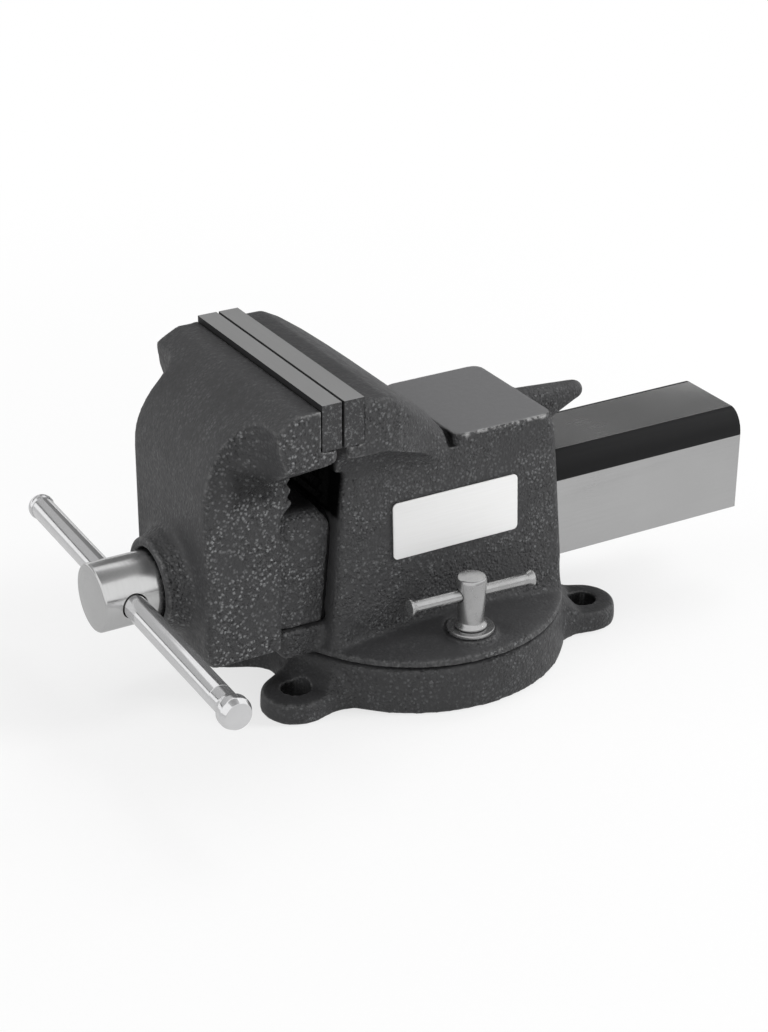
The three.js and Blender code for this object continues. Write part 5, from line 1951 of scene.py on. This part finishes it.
@dataclass
class SwivelLock:
    """One swivel lock: screw, sliding bar, washer and the tee nut in the base's slot."""

    name: str
    side: float
    radius: float = 46.7
    turn: float = -2.2
    shoulder: float = 27.2
    top: float = 48.6
    post_radius: float = 5.1
    collar_radius: float = 6.5
    waist_radius: float = 5.15
    cap_radius: float = 6.0
    cap_rim: float = 5.6
    bar_height: float = 41.2
    bar_half: float = 27.3
    bar_radius: float = 2.35
    flare_radius: float = 3.4
    bar_tip: float = 3.2
    bar_hole: float = 2.75
    hole_reach: float = 20.0
    washer_inner: float = 5.5
    washer_outer: float = 9.4
    nut_hole: float = 5.5
    nut_edge: float = 0.5

    @property
    def middle(self) -> Corner:
        """Where the screw's axis stands."""
        return (self.side * self.radius, 0.0, 0.0)

    @property
    def bar_middle(self) -> Corner:
        """Where the bar crosses the screw."""
        return (self.side * self.radius, 0.0, self.bar_height)

    @property
    def twist(self) -> Matrix:
        """The turn that the screw has in the pose of the photograph."""
        return about(self.middle, self.side * self.turn, "Z")

    def screw(self) -> Piece:
        """The screw: a flared collar, a waist, a flat cap with a rounded rim, and a cross hole.

        Returns:
            The screw.
        """
        node = f"lock_screw_{self.name}"
        foot, _ = span(node, Axis.Z)
        profile = [
            (0.0, foot, 0.0),
            (self.post_radius, foot, 0.5),
            (self.post_radius, self.shoulder, 0.0),
            (self.collar_radius, self.shoulder, 0.25),
            (self.collar_radius, self.shoulder + 0.7, 0.4),
            (self.waist_radius, self.shoulder + 2.1, 1.2),
            (self.cap_radius, self.top - 1.5, 0.7),
            (self.cap_rim, self.top - 0.15, 0.7),
            (0.0, self.top, 0.0),
        ]
        piece = turned(profile, Axis.Z, f"{self.name}_lock_post", self.middle, 56)
        reach = self.hole_reach
        combined(piece, round_bar(self.bar_hole, -reach, reach, Axis.Y, "hole", self.bar_middle, 32))
        tilted(piece, self.twist)
        return placed(shaded(piece, 32), f"{self.name}_lock", Slot.ZINC, SATIN_NICKEL, node)

    def bar(self) -> Piece:
        """The short bar, which flares at each end.

        Returns:
            The bar.
        """
        end = self.bar_half
        half = [
            (self.bar_radius, end - 2.6, 1.2),
            (self.flare_radius, end - 0.7, 0.25),
            (self.flare_radius, end - 0.15, 0.1),
            (self.bar_tip, end, 0.1),
            (0.0, end, 0.0),
        ]
        mirrored = [(radius, -place, rounding) for radius, place, rounding in reversed(half)]
        piece = turned(mirrored + half, Axis.Y, f"{self.name}_lock_tommy", self.bar_middle, 40)
        tilted(piece, self.twist)
        body, node = f"{self.name}_lock_bar", f"lock_bar_{self.name}"
        return placed(shaded(piece), body, Slot.ZINC, SATIN_NICKEL, node)

    def washer(self) -> Piece:
        """The washer that the screw presses on the turntable.

        Returns:
            The washer.
        """
        node, name = f"lock_washer_{self.name}", f"{self.name}_lock_washer_ring"
        ring = ring_washer(self.washer_inner, self.washer_outer, node, Axis.Z, name, self.middle)
        return placed(ring, "turret", Slot.ZINC, SATIN_NICKEL, node)

    def tee_nut(self) -> Piece:
        """The tee nut, a square block with broken edges and a plain hole.

        Returns:
            The nut.
        """
        node = f"lock_tee_nut_{self.name}"
        (left, right), (front, rear), (foot, top) = (span(node, axis) for axis in Axis)
        outline = [(left, front), (right, front), (right, rear), (left, rear)]
        block = drawn(outline, Axis.Z, foot, top, f"{self.name}_slot_nut")
        combined(block, round_bar(self.nut_hole, -1, 30, Axis.Z, "hole", self.middle))
        broken_edges(block, self.nut_edge)
        return placed(shaded(block, 30), "turret", Slot.SCREW, OILED_STEEL, node)

    def build(self) -> list[Piece]:
        """All pieces of the lock."""
        return [self.screw(), self.bar(), self.washer(), self.tee_nut()]


# Finishes of this vise

# Enamel over the base, cast in fine sand: dark, low sheen, calm.
BASE_IRON = BlackPaintedIron(
    "black_enamel_on_fine_sand_casting", roughness=0.5, dark="#2B2B2C", pale="#39393A", glint_fleck="#5C5D5E"
)
# The same enamel over the body's coarser sand skin: dark with a fine pale grain, its paler grains painted
# glints.
BODY_IRON = BlackPaintedIron("black_enamel_on_sand_casting", roughness=0.5, glint_fleck="#6A6B6C", relief=1.4)
# The same enamel over the jaw's coarsest sand skin: dark with a strong pale grain, its paler grains painted
# glints.
JAW_IRON = BlackPaintedIron(
    "black_enamel_on_coarse_sand_casting", roughness=0.5, glint_fleck="#838485", relief=1.7
)
# Ground tool steel: the plain grey of the jaw tops, scratches run along the jaw.
JAW_STEEL = GroundJawSteel(
    "surface_ground_tool_steel", roughness=0.4, metallic=0.7, colour="#B8B8B8", shade="#A8A8A8"
)
# Cold-drawn steel channel: bright flats with faint draw lines, black scale on its corners, and black painted
# shade on its front end inside the body.
DRAWN_STEEL = ScaledSteel(
    "cold_drawn_steel_with_mill_scale", roughness=0.22, metallic=1.0, colour="#D0D0D0", shade="#C0C0C0",
    along=Axis.Y, line_length=120.0, depth=0.008,
)
# Turned and polished spindle steel: bright with a faint spin.
BRIGHT_STEEL = TurnedSteel(
    "turned_bright_steel", roughness=0.2, metallic=1.0, middle=(0.0, 0.0, SPINDLE_HEIGHT), colour="#D8D8D8",
    shade="#C6C6C6",
)
# Chrome over polished steel: the brightest and smoothest metal on the vise.
CHROME = PlatedSteel(
    "bright_chrome_plate", roughness=0.12, metallic=0.9, colour="#ECECED", bloom="#E2E2E3", depth=0.004
)
# Satin nickel of the lock screws: mid grey and slightly cloudy, with a soft reflection.
SATIN_NICKEL = PlatedSteel(
    "satin_nickel_plate", roughness=0.25, metallic=0.9, colour="#C6C6C6", bloom="#A8A8A8", depth=0.003
)
# Zinc plate on hidden washers and bolts: pale grey and cloudy.
ZINC = PlatedSteel("barrel_zinc_plate", roughness=0.34, metallic=1.0, colour="#BFC1C3", bloom="#9FA1A4")
# Black oxide on socket screws: a deep oily grey.
BLACK_OXIDE = PlatedSteel(
    "black_oxide_on_steel", roughness=0.4, metallic=0.9, colour="#3D3E40", bloom="#2C2D2F"
)
# Plain steel under a film of oil: mid grey, smooth.
OILED_STEEL = PlatedSteel(
    "oiled_machined_steel", roughness=0.36, metallic=1.0, colour="#8A8B8E", bloom="#737477"
)
# Oil-tempered spring wire: dark grey with a blue cast.
SPRING_WIRE = PlatedSteel(
    "oil_tempered_spring_wire", roughness=0.33, metallic=1.0, colour="#66686D", bloom="#515358"
)
# Lacquered sheet of the label plate: even off-white, the palest surface on the vise.
LACQUERED_SHEET = CoatedLabel("white_lacquered_aluminium_sheet", roughness=0.38)
# Bearing bronze, turned: warm brown gold.
BRONZE = TurnedSteel(
    "turned_bearing_bronze", roughness=0.32, metallic=1.0, colour="#A98152", shade="#8E6A3F",
    middle=(0.0, 0.0, SPINDLE_HEIGHT),
)


# Studio


@dataclass
class Studio:
    """The floor, the soft lamps, the reflector cards and the camera at the photo's angle.

    A lamp is its name, place, side and power in watts. A card is its name, azimuth,
    elevation, width and height in degrees, and its colours at the foot and the top.
    """

    azimuth: float = 59.7
    elevation: float = 26.45
    roll: float = 0.38
    place: Corner = (713.3, -428.8, 467.9)
    focal_pixels: float = 2330.64
    picture_height: int = 1032
    sensor: float = 36.0
    nearest: float = 0.01
    farthest: float = 50.0
    aim_height: float = 60.0
    world_light: float = 0.38
    floor_half: float = 6000.0
    floor_drop: float = 0.05
    floor_steps: int = 24
    floor_glow: float = 0.55
    paper: tuple[str, str] = ("#EDEDED", "#F1F1F1")
    fibre: float = 3.0
    card_distance: float = 3000.0
    card_lift: float = 50.0
    card_steps: int = 12
    lamps: tuple[tuple[str, Corner, float, float], ...] = (
        ("key_softbox", (950.0, 1650.0, 880.0), 600.0, 32.0),
        ("front_softbox", (-300.0, -1700.0, 900.0), 1200.0, 11.0),
        ("fill_softbox", (1500.0, -900.0, 500.0), 1200.0, 7.0),
        ("top_softbox", (-400.0, 800.0, 1550.0), 900.0, 10.5),
    )
    cards: tuple[tuple[str, float, float, float, float, str, str], ...] = (
        ("grey_canopy", 0.0, 76.0, 360.0, 28.0, "#BCBCBC", "#8E8E8E"),
        ("dark_strip_right", 30.0, 5.0, 70.0, 6.0, "#3C3C3C", "#5A5A5A"),
        ("grey_card_rear", 140.0, 24.0, 52.0, 38.0, "#6E6E6E", "#7E7E7E"),
        ("pale_card_left", 203.0, 34.0, 74.0, 28.0, "#B0B0B0", "#B8B8B8"),
        ("dark_strip_left", 205.0, 18.5, 70.0, 5.0, "#2A2A2A", "#3A3A3A"),
    )

    def camera(self) -> None:
        """The camera, placed and turned as fitted to the photograph."""
        a, e, r = (math.radians(value) for value in (self.azimuth, self.elevation, self.roll))
        right = Vector((math.cos(a), math.sin(a), 0))
        back = Vector((math.sin(a) * math.cos(e), -math.cos(a) * math.cos(e), math.sin(e)))
        up = back.cross(right)
        across = math.cos(r) * right + math.sin(r) * up
        upright = -math.sin(r) * right + math.cos(r) * up
        lens = bpy.data.cameras.new("studio_camera")
        lens.sensor_fit = "VERTICAL"
        lens.sensor_height = self.sensor
        lens.lens = self.focal_pixels / self.picture_height * self.sensor
        lens.clip_start, lens.clip_end = self.nearest, self.farthest
        camera = bpy.data.objects.new("studio_camera", lens)
        matrix = Matrix((across, upright, back)).transposed().to_4x4()
        matrix.translation = Vector(self.place) * MM
        camera.matrix_world = matrix
        bpy.context.scene.collection.objects.link(camera)
        bpy.context.scene.camera = camera

    def lamp(self, name: str, place: Corner, size: float, power: float) -> None:
        """One square softbox that looks at the vise. Metal shows the cards instead of it.

        Args:
            name: Name of the lamp.
            place: Its place in millimetres.
            size: Its side in millimetres.
            power: Its power in watts.
        """
        light = bpy.data.lights.new(name, "AREA")
        light.shape = "SQUARE"
        light.size = size * MM
        light.energy = power
        lamp = bpy.data.objects.new(name, light)
        lamp.location = Vector(place) * MM
        aim = Vector((0, 0, self.aim_height * MM)) - lamp.location
        lamp.rotation_euler = aim.to_track_quat("-Z", "Y").to_euler()
        lamp.visible_glossy = False
        bpy.context.scene.collection.objects.link(lamp)

    def ray_shares(self, tree: Tree) -> tuple[Socket, Socket]:
        """Tell apart the rays of the camera, of reflections and of the light itself.

        Args:
            tree: The node tree to add to.

        Returns:
            One for any ray that shows the surface, and one for a reflected ray.
        """
        ray = add_node(tree, "LightPath")
        clear = ray.outputs["Is Camera Ray"]
        for name in ("Is Glossy Ray", "Is Transmission Ray"):
            both: Inputs = {0: clear, 1: ray.outputs[name]}
            clear = add_node(tree, "Math", both, operation="MAXIMUM").outputs[0]
        return clear, ray.outputs["Is Glossy Ray"]

    def surround(self) -> None:
        """A white world for the camera and for reflections, and a plainer one as light."""
        world = bpy.data.worlds.new("pale_surround")
        bpy.context.scene.world = world
        tree = emptied(world)
        clear, _ = self.ray_shares(tree)
        strength = add_node(tree, "MapRange", {"Value": clear, "To Min": self.world_light, "To Max": 1.0})
        light = add_node(
            tree, "Background", {"Color": linear("#FFFFFF"), "Strength": strength.outputs[0]}
        )
        add_node(tree, "OutputWorld", {"Surface": light.outputs[0]})

    def floor(self) -> None:
        """A wide pale floor that keeps the shadow and fades into the surround."""
        half, step = self.floor_half, self.floor_steps
        values = [(-half + 2 * half * i / step) for i in range(step + 1)]
        points = [(x, y, -self.floor_drop) for y in values for x in values]
        ground = mesh_from(points, grid_faces(step + 1, step + 1), "studio_floor")
        material = bpy.data.materials.new("pale_paper")
        tree = emptied(material)
        clear, glossy = self.ray_shares(tree)
        shine = add_node(tree, "MapRange", {"Value": glossy, "To Min": 1.0, "To Max": self.floor_glow})
        spot = add_node(tree, "TexCoord").outputs["Object"]
        away = add_node(tree, "VectorMath", {0: spot}, operation="LENGTH")
        ends = {"From Min": 0.1, "From Max": 0.62, "To Min": 0.7, "To Max": 1.0}
        distance: Inputs = {"Value": away.outputs["Value"], **ends}
        fade = add_node(tree, "MapRange", distance, interpolation_type="SMOOTHSTEP")
        share = add_node(tree, "Math", {0: clear, 1: fade.outputs[0]}, operation="MULTIPLY")
        fibre = add_node(tree, "TexNoise", {"Vector": spot, "Scale": per_metre(self.fibre)})
        dark, pale = (linear(code) for code in self.paper)
        sheet: Inputs = {"Factor": fibre.outputs["Fac"], "A": dark, "B": pale}
        paper = add_node(tree, "Mix", sheet, data_type="RGBA")
        plain = add_node(tree, "BsdfDiffuse", {"Color": paper.outputs["Result"]})
        white = add_node(tree, "Emission", {"Color": linear("#FFFFFF"), "Strength": shine.outputs[0]})
        mixed = add_node(
            tree, "MixShader", {0: share.outputs[0], 1: plain.outputs[0], 2: white.outputs[0]}
        )
        add_node(tree, "OutputMaterial", {"Surface": mixed.outputs[0]})
        ground.data.materials.append(material)

    def card(
        self, name: str, azimuth: float, elevation: float, width: float, height: float, foot: str, top: str
    ) -> None:
        """A curved studio card that only shows in reflections and shades metal from foot to top.

        Args:
            name: Name of the card.
            azimuth: Where it stands round the vise, in degrees from +X towards +Y.
            elevation: How high it stands, in degrees.
            width: Its width in degrees, seen from the vise.
            height: Its height in degrees.
            foot: Its colour at the foot.
            top: Its colour at the top.
        """
        distance, steps = self.card_distance, self.card_steps
        points = []
        for row in range(steps + 1):
            up = math.radians(elevation + height * (row / steps - 0.5))
            for column in range(steps + 1):
                around = math.radians(azimuth + width * (column / steps - 0.5))
                points.append((
                    distance * math.cos(up) * math.cos(around),
                    distance * math.cos(up) * math.sin(around),
                    distance * math.sin(up) + self.card_lift,
                ))
        board = mesh_from(points, grid_faces(steps + 1, steps + 1), name)
        material = bpy.data.materials.new(f"{name}_paint")
        tree = emptied(material)
        place = add_node(tree, "TexCoord")
        parts = add_node(tree, "SeparateXYZ", {0: place.outputs["Generated"]})
        tones: Inputs = {"Factor": parts.outputs["Z"], "A": linear(foot), "B": linear(top)}
        shade = add_node(tree, "Mix", tones, data_type="RGBA")
        glow = add_node(tree, "Emission", {"Color": shade.outputs["Result"], "Strength": 1.0})
        add_node(tree, "OutputMaterial", {"Surface": glow.outputs[0]})
        board.data.materials.append(material)
        board.visible_camera = False
        board.visible_diffuse = False
        board.visible_shadow = False
        board.visible_transmission = False

    def build(self) -> None:
        """Everything of the studio, and the plain view transform."""
        self.camera()
        self.surround()
        self.floor()
        for lamp in self.lamps:
            self.lamp(*lamp)
        for card in self.cards:
            self.card(*card)
        bpy.context.scene.view_settings.view_transform = "Standard"


def assemblies() -> list[Callable[[], list[Piece]]]:
    """What builds each sub-assembly, from the bench up."""
    return [
        Base().build,
        Body().build,
        JawPlate("rear", "turret", -1, bed=0.22).build,
        FrontJaw().build,
        JawPlate("front", "jaw", 1).build,
        Spindle().build,
        Handle().build,
        SwivelLock("near", 1).build,
        SwivelLock("far", -1).build,
    ]


def main() -> None:
    """Build the studio and every sub-assembly."""
    logging.basicConfig(level=logging.INFO, format="%(name)s: %(message)s")
    Studio().build()
    count = 0
    for build in assemblies():
        count += len(build())
    log.info("%d pieces", count)


if __name__ == "__main__":
    main()
